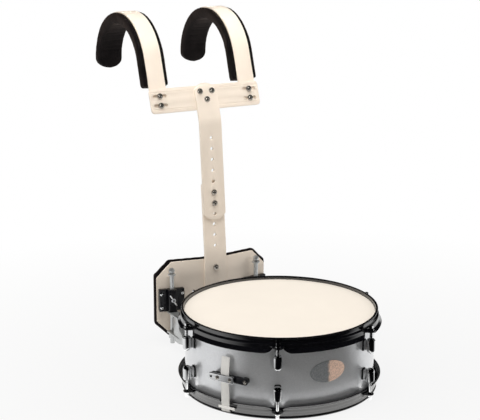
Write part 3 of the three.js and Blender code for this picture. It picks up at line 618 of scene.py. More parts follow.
def soft_profile(points, radius, steps=3):
    """A lathe profile with eased corners, and its ends left on the axis if they are there."""
    if points[0][0] > 0:
        return eased(points, radius, steps)
    loop = eased(points, radius, steps)
    inner = loop[(steps + 1) : -(steps + 1)]
    return [points[0], *inner, points[-1]]


def round_bar(radius, low, high):
    """Profile of a plain round bar."""
    return [(0, low), (radius, low), (radius, high), (0, high)]


def lathed(points, easing, segments=24):
    return turned(soft_profile(points, easing), segments)


def joined(*parts):
    """Several solids as one mesh."""
    whole = parts[0]
    for part in parts[1:]:
        mesh = bpy.data.meshes.new("part")
        part.to_mesh(mesh)
        part.free()
        whole.from_mesh(mesh)
        bpy.data.meshes.remove(mesh)
    return whole


def moved(bm, matrix):
    bm.transform(matrix)
    if matrix.determinant() < 0:
        bmesh.ops.reverse_faces(bm, faces=bm.faces[:])
    return bm


def shift(x, y, z):
    return Matrix.Translation((x, y, z))


def spin(degrees, axis="Z"):
    return Matrix.Rotation(math.radians(degrees), 4, axis)


def cut_at(bm, axis, places):
    """Adds edges across a mesh, so that it can bend there."""
    normal = Vector((0, 0, 0))
    normal[axis] = 1
    for place in places:
        geometry = bm.verts[:] + bm.edges[:] + bm.faces[:]
        bmesh.ops.bisect_plane(bm, geom=geometry, dist=1e-4, plane_co=normal * place, plane_no=normal)
    return bm


def bent(bm, rule):
    """Moves every point by a rule from (x, y, z) to a new place."""
    for vert in bm.verts:
        vert.co = rule(vert.co.x, vert.co.y, vert.co.z)
    bmesh.ops.recalc_face_normals(bm, faces=bm.faces[:])
    return bm


def laid_flat(bm, height):
    """Lays a plate level, with its front at a height and its depth upwards."""
    return bent(bm, lambda x, y, z: Vector((x, z, height + y)))


def on_edge(bm, side, back=0.0):
    """Turns a plate across, with its front at X = side and its depth towards +X."""
    return bent(bm, lambda x, y, z: Vector((side + y, x + back, z)))


class Run:
    """A path in Y and Z. A flat piece is laid along it, with its depth behind the path."""

    def __init__(self, points):
        self.points = [Vector(p) for p in points]
        self.lengths = [0.0]
        for a, b in zip(self.points, self.points[1:]):
            self.lengths.append(self.lengths[-1] + (b - a).length)
        self.total = self.lengths[-1]
        self.normals = []
        for i in range(len(self.points)):
            before = self.points[max(i - 1, 0)]
            after = self.points[min(i + 1, len(self.points) - 1)]
            along = (after - before).normalized()
            self.normals.append(Vector((along.y, -along.x)))

    def place(self, x, depth, along):
        i = int(np.clip(np.searchsorted(self.lengths, along) - 1, 0, len(self.points) - 2))
        share = (along - self.lengths[i]) / (self.lengths[i + 1] - self.lengths[i])
        point = self.points[i].lerp(self.points[i + 1], share)
        normal = self.normals[i].lerp(self.normals[i + 1], min(max(share, 0), 1)).normalized()
        return Vector((x, point.x + normal.x * depth, point.y + normal.y * depth))


# Finished pieces


def to_mesh(bm, name):
    mesh = bpy.data.meshes.new(name)
    bm.transform(Matrix.Scale(METRE, 4))
    bm.to_mesh(mesh)
    bm.free()
    return mesh


def placed(name, data):
    """Puts a mesh, a lamp or a camera in the scene."""
    made = bpy.data.objects.new(name, data)
    bpy.context.scene.collection.objects.link(made)
    return made


def finished(name, mesh, materials, stands_for=(), body=None, angle=32):
    """Puts a mesh in the scene as a piece with its finish, smooth below the angle, on its body."""
    if isinstance(mesh, bmesh.types.BMesh):
        mesh = to_mesh(mesh, name)
    piece = placed(name, mesh)
    # Clearing an empty list would set every face back to the first finish
    if mesh.materials:
        mesh.materials.clear()
    for material in materials if isinstance(materials, list) else [materials]:
        mesh.materials.append(material)
    mesh.polygons.foreach_set("use_smooth", [True] * len(mesh.polygons))
    mesh.set_sharp_from_angle(angle=math.radians(angle))
    mesh.update()
    if body != "blend":
        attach(piece, body or BODY_OF[stands_for[0]])
    if stands_for:
        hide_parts(*stands_for)
    return piece


# Node trees


def add(tree, kind, values=None, links=None, **settings):
    """Adds a node, sets its settings and its sockets' values, and links what feeds it."""
    node = tree.nodes.new(kind)
    for key, value in settings.items():
        setattr(node, key, value)
    for key, value in (values or {}).items():
        node.inputs[key].default_value = value
    for key, source in (links or {}).items():
        tree.links.new(source, node.inputs[key])
    return node


def new_growth(name, inputs):
    """An empty geometry tree with named inputs and a finish, and the sockets that give them."""
    tree = bpy.data.node_groups.new(name, "GeometryNodeTree")
    tree.interface.new_socket("Geometry", in_out="OUTPUT", socket_type="NodeSocketGeometry")
    for label, kind in {**inputs, "Finish": "Material"}.items():
        tree.interface.new_socket(label, in_out="INPUT", socket_type=f"NodeSocket{kind}")
    return tree, add(tree, "NodeGroupInput").outputs


def end_growth(tree, source, given):
    """Ends a tree in plain geometry with its finish."""
    plain = add(tree, "GeometryNodeRealizeInstances", links={"Geometry": source})
    links = {"Geometry": plain.outputs["Geometry"], "Material": given["Finish"]}
    dressed = add(tree, "GeometryNodeSetMaterial", links=links)
    add(tree, "NodeGroupOutput", links={"Geometry": dressed.outputs["Geometry"]})
    return tree


def copies_at(tree, given, points, **turn):
    """Ends a tree in copies of its part at points, turned by a rotation where one is given."""
    part = add(tree, "GeometryNodeObjectInfo", links={"Object": given["Part"]}, transform_space="ORIGINAL")
    links = {"Points": points, "Instance": part.outputs["Geometry"], **turn}
    copies = add(tree, "GeometryNodeInstanceOnPoints", links=links)
    return end_growth(tree, copies.outputs["Instances"], given)


def ring_tree():
    """Copies of a part round the drum's axis, turned to face outwards."""
    inputs = {"Part": "Object", "Copies": "Int", "First azimuth": "Float", "Azimuth step": "Float"}
    tree, given = new_growth("Copies round the drum", inputs)
    points = add(tree, "GeometryNodeMeshLine", {"Offset": (0, 0, 0)}, {"Count": given["Copies"]})
    number = add(tree, "GeometryNodeInputIndex").outputs[0]
    links = {0: number, 1: given["Azimuth step"], 2: given["First azimuth"]}
    turn = add(tree, "ShaderNodeMath", links=links, operation="MULTIPLY_ADD")
    facing = add(tree, "ShaderNodeCombineXYZ", links={"Z": turn.outputs[0]})
    return copies_at(tree, given, points.outputs["Mesh"], Rotation=facing.outputs["Vector"])


def places_tree():
    """Copies of a part at the places that the piece's own points give."""
    tree, given = new_growth("Copies at places", {"Places": "Geometry", "Part": "Object"})
    return copies_at(tree, given, given["Places"])


def coil_tree():
    """Round wire wound to a coil along Z, and a row of such coils along X."""
    inputs = {
        "Length": "Float",
        "Coil radius": "Float",
        "Wire radius": "Float",
        "Turns": "Float",
        "Points per turn": "Int",
        "Wire sides": "Int",
        "Coils": "Int",
        "Spacing": "Float",
    }
    tree, given = new_growth("Wound wire", inputs)
    links = {
        "Resolution": given["Points per turn"],
        "Rotations": given["Turns"],
        "Start Radius": given["Coil radius"],
        "End Radius": given["Coil radius"],
        "Height": given["Length"],
    }
    spiral = add(tree, "GeometryNodeCurveSpiral", links=links)
    links = {"Resolution": given["Wire sides"], "Radius": given["Wire radius"]}
    section = add(tree, "GeometryNodeCurvePrimitiveCircle", links=links)
    links = {"Curve": spiral.outputs["Curve"], "Profile Curve": section.outputs["Curve"]}
    wire = add(tree, "GeometryNodeCurveToMesh", {"Fill Caps": True}, links)
    step = add(tree, "ShaderNodeCombineXYZ", links={"X": given["Spacing"]})
    row = add(tree, "GeometryNodeMeshLine", links={"Count": given["Coils"], "Offset": step.outputs["Vector"]})
    links = {"Points": row.outputs["Mesh"], "Instance": wire.outputs["Mesh"]}
    coils = add(tree, "GeometryNodeInstanceOnPoints", links=links)
    return end_growth(tree, coils.outputs["Instances"], given)


def grown(tree, inputs, places=()):
    """Runs a tree on an empty piece, or on one that holds places in millimetres, and keeps the plain mesh."""
    seed = bpy.data.meshes.new("places")
    seed.from_pydata([tuple(Vector(p) * METRE) for p in places], [], [])
    host = placed("places", seed)
    modifier = host.modifiers.new("Growth", "NODES")
    modifier.node_group = tree
    for item in tree.interface.items_tree:
        if item.item_type == "SOCKET" and item.in_out == "INPUT" and item.name in inputs:
            modifier[item.identifier] = inputs[item.name]
    bpy.context.view_layer.update()
    graph = bpy.context.evaluated_depsgraph_get()
    mesh = bpy.data.meshes.new_from_object(host.evaluated_get(graph))
    bpy.data.objects.remove(host)
    bpy.data.meshes.remove(seed)
    if not mesh.polygons:
        raise RuntimeError(f"{tree.name} gave no faces")
    return mesh


def copied(tree, bm, inputs, places=()):
    """Grows copies of a part that is given in millimetres."""
    mesh = to_mesh(bm, "part")
    part = placed("part", mesh)
    made = grown(tree, {**inputs, "Part": part}, places)
    bpy.data.objects.remove(part)
    bpy.data.meshes.remove(mesh)
    return made


def turned_mesh(mesh, matrix):
    """Moves a grown mesh, with the matrix's distances in millimetres."""
    matrix = matrix.copy()
    matrix.translation = matrix.translation * METRE
    mesh.transform(matrix)
    if matrix.determinant() < 0:
        mesh.flip_normals()
    return mesh


def round_drum(solid, coat, copies=lug_count, first=first_lug):
    """Copies of a part round the drum, one at each lug."""
    azimuths = {"First azimuth": math.radians(first), "Azimuth step": math.radians(lug_step)}
    return copied(tree_for("ring"), solid, {"Copies": copies, "Finish": coat, **azimuths})


def fixings(name, solid, coat, places, place=None, stands_for=(), body=None):
    """Copies of a screw, bolt or nut at places in millimetres, moved together by a matrix."""
    mesh = copied(tree_for("places"), solid, {"Finish": coat}, places)
    return finished(name, turned_mesh(mesh, place or Matrix.Identity(4)), coat, stands_for, body)


# Finishes


def new_surface(name, looks):
    """A material with its shader's plain values, and the object's own coordinates in metres."""
    material = bpy.data.materials.new(name)
    material.use_nodes = True
    tree = material.node_tree
    tree.nodes.clear()
    shader = add(tree, "ShaderNodeBsdfPrincipled", looks)
    add(tree, "ShaderNodeOutputMaterial", links={"Surface": shader.outputs["BSDF"]})
    coords = add(tree, "ShaderNodeTexCoord").outputs["Object"]
    return material, tree, shader, coords


def per(size):
    """Scale of a pattern whose grain is a size in millimetres."""
    return 1 / (size * METRE)


def relief(tree, shader, height, depth, strength, socket="Normal"):
    """Raises a surface by a pattern, to a depth in millimetres."""
    bump = add(
        tree,
        "ShaderNodeBump",
        {"Strength": strength, "Distance": depth * METRE},
        {"Height": height},
    )
    tree.links.new(bump.outputs["Normal"], shader.inputs[socket])


def two_tones(tree, source, low, high, dark, light):
    """Colour that turns from one tone to another between two levels of a pattern."""
    ramp = add(tree, "ShaderNodeValToRGB", links={"Fac": source})
    for stop, level, tone in zip(ramp.color_ramp.elements, (low, high), (dark, light)):
        stop.position = level
        stop.color = (*tone, 1)
    return ramp.outputs["Color"]


def mottled(tree, shader, *tones):
    """Colour that drifts between two tones with a pattern."""
    tree.links.new(two_tones(tree, *tones), shader.inputs["Base Color"])


def shade(colour, share):
    return tuple(c * share for c in colour)


def span(*ends):
    """Values that turn one span of a pattern to another, or to the span from nought to one."""
    return dict(zip(("From Min", "From Max", "To Min", "To Max"), ends))


def clouded(name, colour, cloud, tones, tooth=(), gloss=(), z_scale=1.0, looks=()):
    """A finish whose colour drifts between two shares of itself with a cloudy pattern.

    The cloud is its grain in millimetres, its detail, and the levels at which the two tones are
    reached. The tooth is the depth in millimetres and the strength of the relief, which follows the
    cloud, or a grain and detail of its own. The gloss turns a span of the cloud to a span of roughness.
    """
    material, tree, shader, coords = new_surface(name, dict(looks))
    if z_scale != 1.0:
        coords = add(tree, "ShaderNodeMapping", {"Scale": (1, 1, z_scale)}, {"Vector": coords}).outputs[0]
    grain, detail, low, high = cloud
    noise = add(tree, "ShaderNodeTexNoise", {"Scale": per(grain), "Detail": detail}, {"Vector": coords})
    drift = raised = noise.outputs["Fac"]
    mottled(tree, shader, drift, low, high, *(shade(colour, share) for share in tones))
    if tooth[2:]:
        values = {"Scale": per(tooth[2]), "Detail": tooth[3]}
        raised = add(tree, "ShaderNodeTexNoise", values, {"Vector": coords}).outputs["Fac"]
    if tooth:
        relief(tree, shader, raised, *tooth[:2])
    if gloss:
        rough = add(tree, "ShaderNodeMapRange", span(*gloss), {"Value": drift})
        tree.links.new(rough.outputs["Result"], shader.inputs["Roughness"])
    return material


def silver_lacquer(colour):
    # Sprayed metallic lacquer on a ply shell, cut back and buffed: an even silver grey with very fine
    # flake under a hard clear coat, so that it mirrors its neighbours and greys with the angle.
    looks = {"Metallic": 0.6, "Roughness": 0.34, "Coat Weight": 1.0, "Coat Roughness": 0.05}
    material, tree, shader, coords = new_surface("Silver lacquer", looks)
    flake = add(tree, "ShaderNodeTexVoronoi", {"Scale": per(0.9)}, {"Vector": coords})
    grey = add(tree, "ShaderNodeRGBToBW", links={"Color": flake.outputs["Color"]})
    mottled(tree, shader, grey.outputs["Val"], 0.2, 0.8, shade(colour, 0.93), shade(colour, 1.07))
    wave = add(tree, "ShaderNodeTexNoise", {"Scale": per(14), "Detail": 2.0}, {"Vector": coords})
    relief(tree, shader, wave.outputs["Fac"], 0.02, 0.6, "Coat Normal")
    return material


def maple_ply(colour):
    # Maple veneer inside the shell, sanded and sealed: pale tan with long soft figure round the wall.
    figure = (40, 6.0, 0.35, 0.7)
    return clouded("Maple ply", colour, figure, (0.75, 1), (0.05, 0.5), z_scale=12, looks={"Roughness": 0.5})


def black_enamel(colour):
    # Gloss black powder coat on pressed steel: near black, with a faint orange peel in its reflections.
    wear, peel = (45, 5.0, 0.4, 0.75), (0.02, 0.5, 3.5, 2.0)
    gloss = (0.35, 0.7, 0.12, 0.2)
    looks = {"IOR": 1.7, "Specular IOR Level": 0.8}
    return clouded("Black enamel", colour, wear, (1, 1.7), peel, gloss, looks=looks)


def black_casting(colour):
    # Die-cast zinc with black chromate and lacquer: black, smooth and a little softer than the hoops.
    looks = {"Roughness": 0.2, "Specular IOR Level": 0.4}
    return clouded("Black casting", colour, (0.8, 3.0, 0.35, 0.7), (1, 1.6), (0.015, 0.5), looks=looks)


def coated_film(colour):
    # Polyester film with a sprayed white coat: matt, warm white, with the coat's fine tooth.
    cloud, tooth = (55, 4.0, 0.35, 0.7), (0.05, 0.45, 0.9, 4.0)
    looks = {"Roughness": 0.62, "Specular IOR Level": 0.35}
    return clouded("Coated head film", colour, cloud, (0.985, 1), tooth, looks=looks)


def clear_film(colour):
    # Clear polyester film over the snares: thin, smooth and faintly milky.
    haze = (30, 3.0, 0.3, 0.7)
    return clouded("Snare side film", colour, haze, (0.92, 1), (0.03, 0.3), looks={"Roughness": 0.2})


def chrome_plate(colour):
    # Polished chrome plate: a bright mirror with the slow ripple of the buffed metal below it.
    looks = {"Metallic": 1.0, "Roughness": 0.09}
    return clouded("Chrome plate", colour, (9, 2.0, 0.3, 0.7), (0.94, 1), (0.03, 0.5), looks=looks)


def dark_plate(colour):
    # Black nickel on bolt heads: a smoky mirror, slightly uneven.
    looks = {"Metallic": 0.85, "Roughness": 0.27}
    return clouded("Black nickel plate", colour, (2.5, 3.0, 0.3, 0.75), (0.7, 1.2), (0.02, 0.5), looks=looks)


def zinc_steel(colour):
    # Bright zinc on bent sheet steel: silvery, softly brushed, with small cloudy spangle.
    material, tree, shader, coords = new_surface("Zinc plated steel", {"Metallic": 0.7, "Roughness": 0.36})
    spangle = add(tree, "ShaderNodeTexVoronoi", {"Scale": per(3)}, {"Vector": coords})
    grey = add(tree, "ShaderNodeRGBToBW", links={"Color": spangle.outputs["Color"]})
    mottled(tree, shader, grey.outputs["Val"], 0.1, 0.9, shade(colour, 0.86), shade(colour, 1.05))
    brushed = add(tree, "ShaderNodeMapping", {"Scale": (1, 1, 0.06)}, {"Vector": coords})
    lines = add(tree, "ShaderNodeTexNoise", {"Scale": per(0.5)}, {"Vector": brushed.outputs[0]})
    relief(tree, shader, lines.outputs["Fac"], 0.012, 0.4)
    return material


def spring_wire(colour):
    # Drawn stainless wire, wound and bright.
    looks = {"Metallic": 1.0, "Roughness": 0.25}
    return clouded("Spring wire", colour, (0.4, 2.0, 0.3, 0.7), (0.8, 1), looks=looks)


def cream_paint(colour):
    # Cream powder coat on bent metal: satin, warm white, with a fine orange peel and a little rub.
    rub, peel = (38, 6.0, 0.3, 0.7), (0.03, 0.5, 1.6, 2.0)
    return clouded("Cream powder coat", colour, rub, (0.96, 1), peel, (0.3, 0.7, 0.34, 0.46))


def foam_cloth(colour):
    # Neoprene foam faced with a fine black knit: dull, with small loops and a brownish sheen at the edge.
    # The loops are drawn at 1.4 mm, about twice their real size, so that they show.
    looks = {
        "Roughness": 0.82,
        "Specular IOR Level": 0.2,
        "Sheen Weight": 0.35,
        "Sheen Roughness": 0.4,
        "Sheen Tint": (*from_hex("#8A7468"), 1),
    }
    material, tree, shader, coords = new_surface("Foam with knit face", looks)
    loops = add(tree, "ShaderNodeTexVoronoi", {"Scale": per(1.4)}, {"Vector": coords})
    relief(tree, shader, loops.outputs["Distance"], 0.25, 0.7)
    worn = add(tree, "ShaderNodeTexNoise", {"Scale": per(22), "Detail": 5.0}, {"Vector": coords})
    mottled(tree, shader, worn.outputs["Fac"], 0.35, 0.75, shade(colour, 0.8), shade(colour, 1.9))
    return material


def strap_film(colour):
    # Polyester strap: thin, half clear and glossy, with fine scuffs along it.
    looks = {"Roughness": 0.25, "Alpha": 0.75}
    scuff = (1.2, 3.0, 0.3, 0.7)
    return clouded("Strap film", colour, scuff, (0.9, 1), (0.02, 0.4), z_scale=0.1, looks=looks)


def nylon(colour):
    # Moulded white nylon: smooth and faintly waxy, with a slow drift in its gloss.
    flow = (6, 2.0, 0.3, 0.7)
    return clouded("White nylon", colour, flow, (0.95, 1), (0.02, 0.4), looks={"Roughness": 0.35})


def gasket_rubber(colour):
    # Moulded rubber: dull black with a fine bloom.
    bloom = (2, 4.0, 0.3, 0.8)
    return clouded("Moulded rubber", colour, bloom, (1, 1.8), (0.04, 0.5), looks={"Roughness": 0.7})


def badge_foil(plain, warm):
    # Embossed aluminium foil, whose colour holds a painted reflection: a dark grey tone on the left half
    # and a bright copper-warm tone on the right, with a soft border between the two. Each facet's colour
    # is also scaled at random, a painted glint, so that the facets seem to catch the light one by one.
    # The facets are drawn at 1.6 mm, about three times their real size, so that they show.
    material, tree, shader, coords = new_surface("Badge foil", {"Metallic": 0.1, "Roughness": 0.3})
    pebble = add(tree, "ShaderNodeTexVoronoi", {"Scale": per(1.6)}, {"Vector": coords})
    facet = add(tree, "ShaderNodeRGBToBW", links={"Color": pebble.outputs["Color"]})
    relief(tree, shader, pebble.outputs["Distance"], 0.25, 0.8)
    # The split between the two tones, across the badge's middle, is a painted reflection
    centred = add(tree, "ShaderNodeMapping", {"Location": (-0.001, 0, 0)}, {"Vector": coords})
    parts = add(tree, "ShaderNodeSeparateXYZ", links={"Vector": centred.outputs[0]})
    drift = add(tree, "ShaderNodeTexNoise", {"Scale": per(8), "Detail": 3.0}, {"Vector": coords})
    links = {0: parts.outputs["X"], 2: drift.outputs["Fac"]}
    reflection_border = add(tree, "ShaderNodeMath", {1: 90.0}, links, operation="MULTIPLY_ADD")
    tone = two_tones(tree, reflection_border.outputs[0], 0.25, 0.75, plain, warm)
    # Each facet's colour is scaled at random: a painted glint
    painted_glint = add(tree, "ShaderNodeMapRange", span(0.2, 0.8, 0.72, 1.12), {"Value": facet.outputs["Val"]})
    links = {0: tone, "Scale": painted_glint.outputs["Result"]}
    lit = add(tree, "ShaderNodeVectorMath", links=links, operation="SCALE")
    tree.links.new(lit.outputs["Vector"], shader.inputs["Base Color"])
    return material


def plain_sight(tree):
    """One for the rays that see a white surrounding itself: from the camera, a mirror or through glass."""
    path = add(tree, "ShaderNodeLightPath")
    seen = path.outputs["Is Camera Ray"]
    for ray in ("Is Glossy Ray", "Is Transmission Ray"):
        links = {0: seen, 1: path.outputs[ray]}
        seen = add(tree, "ShaderNodeMath", links=links, operation="MAXIMUM").outputs[0]
    return seen


def reach_of(tree, coords):
    """Distance from the drum's axis, in metres."""
    level = add(tree, "ShaderNodeMapping", {"Scale": (1, 1, 0)}, {"Vector": coords})
    reach = add(tree, "ShaderNodeVectorMath", links={0: level.outputs[0]}, operation="LENGTH")
    return reach.outputs["Value"]


def studio_paper():
    # White background paper: matt, and shown white to the camera and in mirrors. Near the drum it
    # keeps the shadow, and it fades to plain white further out.
    looks = {"Roughness": 0.9, "Specular IOR Level": 0.1}
    material, tree, shader, coords = new_surface("Studio paper", looks)
    fibre = add(tree, "ShaderNodeTexNoise", {"Scale": per(6), "Detail": 3.0}, {"Vector": coords})
    mottled(tree, shader, fibre.outputs["Fac"], 0.3, 0.7, from_hex("#B0AFAD"), from_hex("#B8B7B5"))
    glow = add(tree, "ShaderNodeEmission", {"Color": (1, 1, 1, 1), "Strength": 1.0})
    near = span(*shadow_reach, shadow_share, 1.0)
    fade = add(tree, "ShaderNodeMapRange", near, {"Value": reach_of(tree, coords)})
    links = {0: plain_sight(tree), 1: fade.outputs["Result"]}
    share = add(tree, "ShaderNodeMath", links=links, operation="MULTIPLY")
    both = add(
        tree,
        "ShaderNodeMixShader",
        links={0: share.outputs[0], 1: shader.outputs["BSDF"], 2: glow.outputs["Emission"]},
    )
    output = next(n for n in tree.nodes if n.bl_idname == "ShaderNodeOutputMaterial")
    tree.links.new(both.outputs["Shader"], output.inputs["Surface"])
    return material


def flag_cloth(start=0.0, end=0.0, sides=()):
    # Black duvetyne, the cloth that studios hang round chrome so that it shows dark shapes: no gloss.
    # On the floor it has soft edges: where it begins, between two distances from the drum's axis, and
    # at its two sides, between two azimuths each.
    looks = {"Roughness": 1.0, "Specular IOR Level": 0.0}
    material, tree, shader, coords = new_surface("Black flag cloth", looks)
    nap = add(tree, "ShaderNodeTexNoise", {"Scale": per(20)}, {"Vector": coords})
    mottled(tree, shader, nap.outputs["Fac"], 0.3, 0.7, from_hex("#050506"), from_hex("#0B0B0D"))
    if end > start:
        edge = add(tree, "ShaderNodeMapRange", span(start, end), {"Value": reach_of(tree, coords)})
        cover = edge.outputs["Result"]
        parts = add(tree, "ShaderNodeSeparateXYZ", links={"Vector": coords})
        front = add(tree, "ShaderNodeMath", {1: -1.0}, {0: parts.outputs["Y"]}, operation="MULTIPLY")
        links = {0: parts.outputs["X"], 1: front.outputs[0]}
        azimuth = add(tree, "ShaderNodeMath", links=links, operation="ARCTAN2").outputs[0]
        for clear, dark in sides:
            ends = span(math.radians(clear), math.radians(dark))
            side = add(tree, "ShaderNodeMapRange", ends, {"Value": azimuth})
            links = {0: cover, 1: side.outputs["Result"]}
            cover = add(tree, "ShaderNodeMath", links=links, operation="MULTIPLY").outputs[0]
        tree.links.new(cover, shader.inputs["Alpha"])
    return material


def glowing_reflection_card():
    # A white ring round the drum's foot that glows and is seen only in reflections: a painted bright
    # reflection in the black gloss of the lower hoop, where the floor lies in the drum's shadow.
    looks = {"Roughness": 0.9, "Emission Color": (1, 1, 1, 1), "Emission Strength": 1.0}
    material, tree, shader, coords = new_surface("White foam board", looks)
    grain = add(tree, "ShaderNodeTexNoise", {"Scale": per(15)}, {"Vector": coords})
    mottled(tree, shader, grain.outputs["Fac"], 0.3, 0.7, from_hex("#F4F4F2"), from_hex("#FAFAF8"))
    return material


FINISHES = {}
TREES = {}


def tree_for(key):
    """A tree that several pieces share, made once."""
    if key not in TREES:
        TREES[key] = {"ring": ring_tree, "places": places_tree, "coil": coil_tree}[key]()
    return TREES[key]


# What a user may change


def colour_choice(name, description, value):
    return bpy.props.FloatVectorProperty(
        name=name, description=description, subtype="COLOR", size=3, min=0, max=1, default=from_hex(value)
    )


def length_choice(name, description, value):
    return bpy.props.FloatProperty(
        name=name, description=description, default=value * METRE, min=0, unit="LENGTH", precision=5
    )


class SnareColours(bpy.types.PropertyGroup):
    """Colours of the drum and its carrier"""

    lacquer: colour_choice("Lacquer", "Lacquer of the shell", "#E2E4E7")
    maple: colour_choice("Maple", "Inside of the shell", "#C9A67A")
    enamel: colour_choice("Enamel", "Powder coat of the hoops", "#0B0B0E")
    # On the flesh hoops this black is painted shade, for the dark seen through the hoops' notches
    casting: colour_choice("Casting", "Clamp blocks, butt bracket, tension knob and flesh hoops", "#101014")
    head: colour_choice("Head", "Coated film of the playing side", "#FBF3E8")
    snare_film: colour_choice("Snare film", "Film of the snare side", "#DEDBD4")
    chrome: colour_choice("Chrome", "Lugs, rods, strainer and small metal", "#E2E3E4")
    bolt: colour_choice("Bolt heads", "Plating of the carrier's bolts", "#C4BFB8")
    zinc: colour_choice("Zinc", "Plating of the hangers and the J rods", "#CFD1D1")
    wire: colour_choice("Snare wire", "Wound snare wires", "#C6C9CC")
    paint: colour_choice("Carrier paint", "Powder coat of the carrier", "#F6E9DA")
    foam: colour_choice("Foam cloth", "Knit face of the pads", "#100D0E")
    strap: colour_choice("Strap", "Film straps and gate bars of the snares", "#FCFBF8")
    rubber: colour_choice("Rubber", "Gaskets below the lugs", "#141416")
    # The badge's two tones are a painted reflection: dark grey on the left half, bright and warm on the right
    foil_dark_reflection: colour_choice("Foil", "Plain tone of the badge", "#8B8E91")
    foil_bright_reflection: colour_choice("Warm foil", "Copper tone of the badge", "#FFDCC8")


class SnareSizes(bpy.types.PropertyGroup):
    """Sizes of details that the frame leaves open"""

    edge: length_choice("Edge rounding", "Rounding of cut metal edges", 0.5)
    coil_radius: length_choice("Snare coil radius", "Radius of a snare wire's coil at its middle", 0.55)
    wire_radius: length_choice("Snare wire radius", "Radius of the wire that is wound", 0.22)
    coil_pitch: length_choice("Snare coil pitch", "Distance between two turns of a snare wire", 2.4)
    thread_pitch: length_choice("Thread pitch", "Distance between two turns of a rod's thread", 1.06)
    voxel: length_choice("Pad grain", "Voxel size at which a pad is remeshed", 3.2)
    swell: length_choice("Pad swell", "How far a pad may swell in the cloth simulation", 2.2)
    ridge_depth: length_choice("Crossbar groove", "Depth of the pressed lines along the crossbar", 0.5)


def choices(context):
    return context.scene.snare_sizes, context.scene.snare_colours


MAKERS = {
    "lacquer": silver_lacquer,
    "maple": maple_ply,
    "enamel": black_enamel,
    "casting": black_casting,
    "head": coated_film,
    "snare_film": clear_film,
    "chrome": chrome_plate,
    "bolt": dark_plate,
    "zinc": zinc_steel,
    "wire": spring_wire,
    "paint": cream_paint,
    "foam": foam_cloth,
    "strap": strap_film,
    "gate": nylon,
    "rubber": gasket_rubber,
}


def finish(context, key):
    """A finish that several pieces share, made once. The gate bars have the strap's colour."""
    if key not in FINISHES:
        colour = getattr(choices(context)[1], "strap" if key == "gate" else key)
        FINISHES[key] = MAKERS[key](colour)
    return FINISHES[key]


# Parts that several pieces use


def hex_head(radius, height, socket):
    """A domed bolt head with a hexagon socket. It stands in front of Y = 0, facing -Y."""
    floor = height - height * socket_depth_share
    profile = [(0, 0), *((radius * out, height * up) for out, up in dome_shares)]
    profile += [(socket * out, height * up) for out, up in lip_shares]
    bm = turned([*profile, (socket, floor), (0, floor)], 36)
    half_side = math.pi / 6
    inner, outer = (socket * share for share in socket_wall_shares)
    for vert in bm.verts:
        if inner < math.hypot(vert.co.x, vert.co.y) < outer and vert.co.z < height * socket_top_share:
            turn = math.atan2(vert.co.y, vert.co.x) % (2 * half_side) - half_side
            share = math.cos(half_side) / math.cos(turn)
            vert.co.x *= share
            vert.co.y *= share
    return moved(bm, spin(90, "X"))


def hex_nut(radius, height, bore):
    """A hexagon nut along +Y from Y = 0, with rounded edges."""
    corners = [(radius * math.cos(t), radius * math.sin(t)) for t in angles(0, 2 * math.pi, 6)[:-1]]
    return plate([corners, hole(0, 0, bore, 16)], height)


def puffed(piece, sizes):
    """Foam under its cover: remeshed, swollen a little as cloth, and smoothed."""
    remesh = piece.modifiers.new("Even grain", "REMESH")
    remesh.mode = "VOXEL"
    remesh.voxel_size = sizes.voxel
    bpy.context.view_layer.update()
    graph = bpy.context.evaluated_depsgraph_get()
    mesh = bpy.data.meshes.new_from_object(piece.evaluated_get(graph))
    piece.modifiers.clear()
    materials = list(piece.data.materials)
    piece.data = mesh
    if not mesh.materials:
        for material in materials:
            mesh.materials.append(material)
    count = len(mesh.vertices)
    rest = np.zeros(count * 3)
    mesh.vertices.foreach_get("co", rest)
    rest = rest.reshape(-1, 3)
    cloth = piece.modifiers.new("Swell", "CLOTH")
    cloth.settings.quality = cloth_quality
    cloth.settings.mass = cloth_mass
    cloth.settings.use_pressure = True
    cloth.settings.uniform_pressure_force = swell_pressure
    cloth.settings.effector_weights.gravity = 0
    cloth.point_cache.frame_start = 1
    cloth.point_cache.frame_end = swell_frames
    for number in range(1, swell_frames + 1):
        bpy.context.scene.frame_set(number)
    graph = bpy.context.evaluated_depsgraph_get()
    swollen = np.zeros(count * 3)
    piece.evaluated_get(graph).data.vertices.foreach_get("co", swollen)
    move = swollen.reshape(-1, 3) - rest
    move -= move.mean(axis=0)
    length = np.linalg.norm(move, axis=1, keepdims=True)
    move *= np.minimum(1, sizes.swell / np.maximum(length, 1e-9))
    piece.modifiers.clear()
    mesh.vertices.foreach_set("co", (rest + move).ravel())
    bpy.context.scene.frame_set(1)
    mesh.polygons.foreach_set("use_smooth", [True] * len(mesh.polygons))
    relax = piece.modifiers.new("Even", "SMOOTH")
    relax.factor = 0.5
    relax.iterations = 2
    finer = piece.modifiers.new("Finer", "SUBSURF")
    finer.levels = 1
    finer.render_levels = 1
    mesh.update()


def pad(name, bm, context, node):
    """A foam pad in its knit cover, which stands for a node."""
    piece = placed(name, to_mesh(bm, name))
    piece.data.materials.append(finish(context, "foam"))
    puffed(piece, choices(context)[0])
    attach(piece, BODY_OF[node])
    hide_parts(node)


UPRIGHT = Matrix.Identity(4)
FLIP = Matrix.Scale(-1, 4, (0, 0, 1))
SNARE_SIDE = shift(0, 0, -head_span) @ FLIP


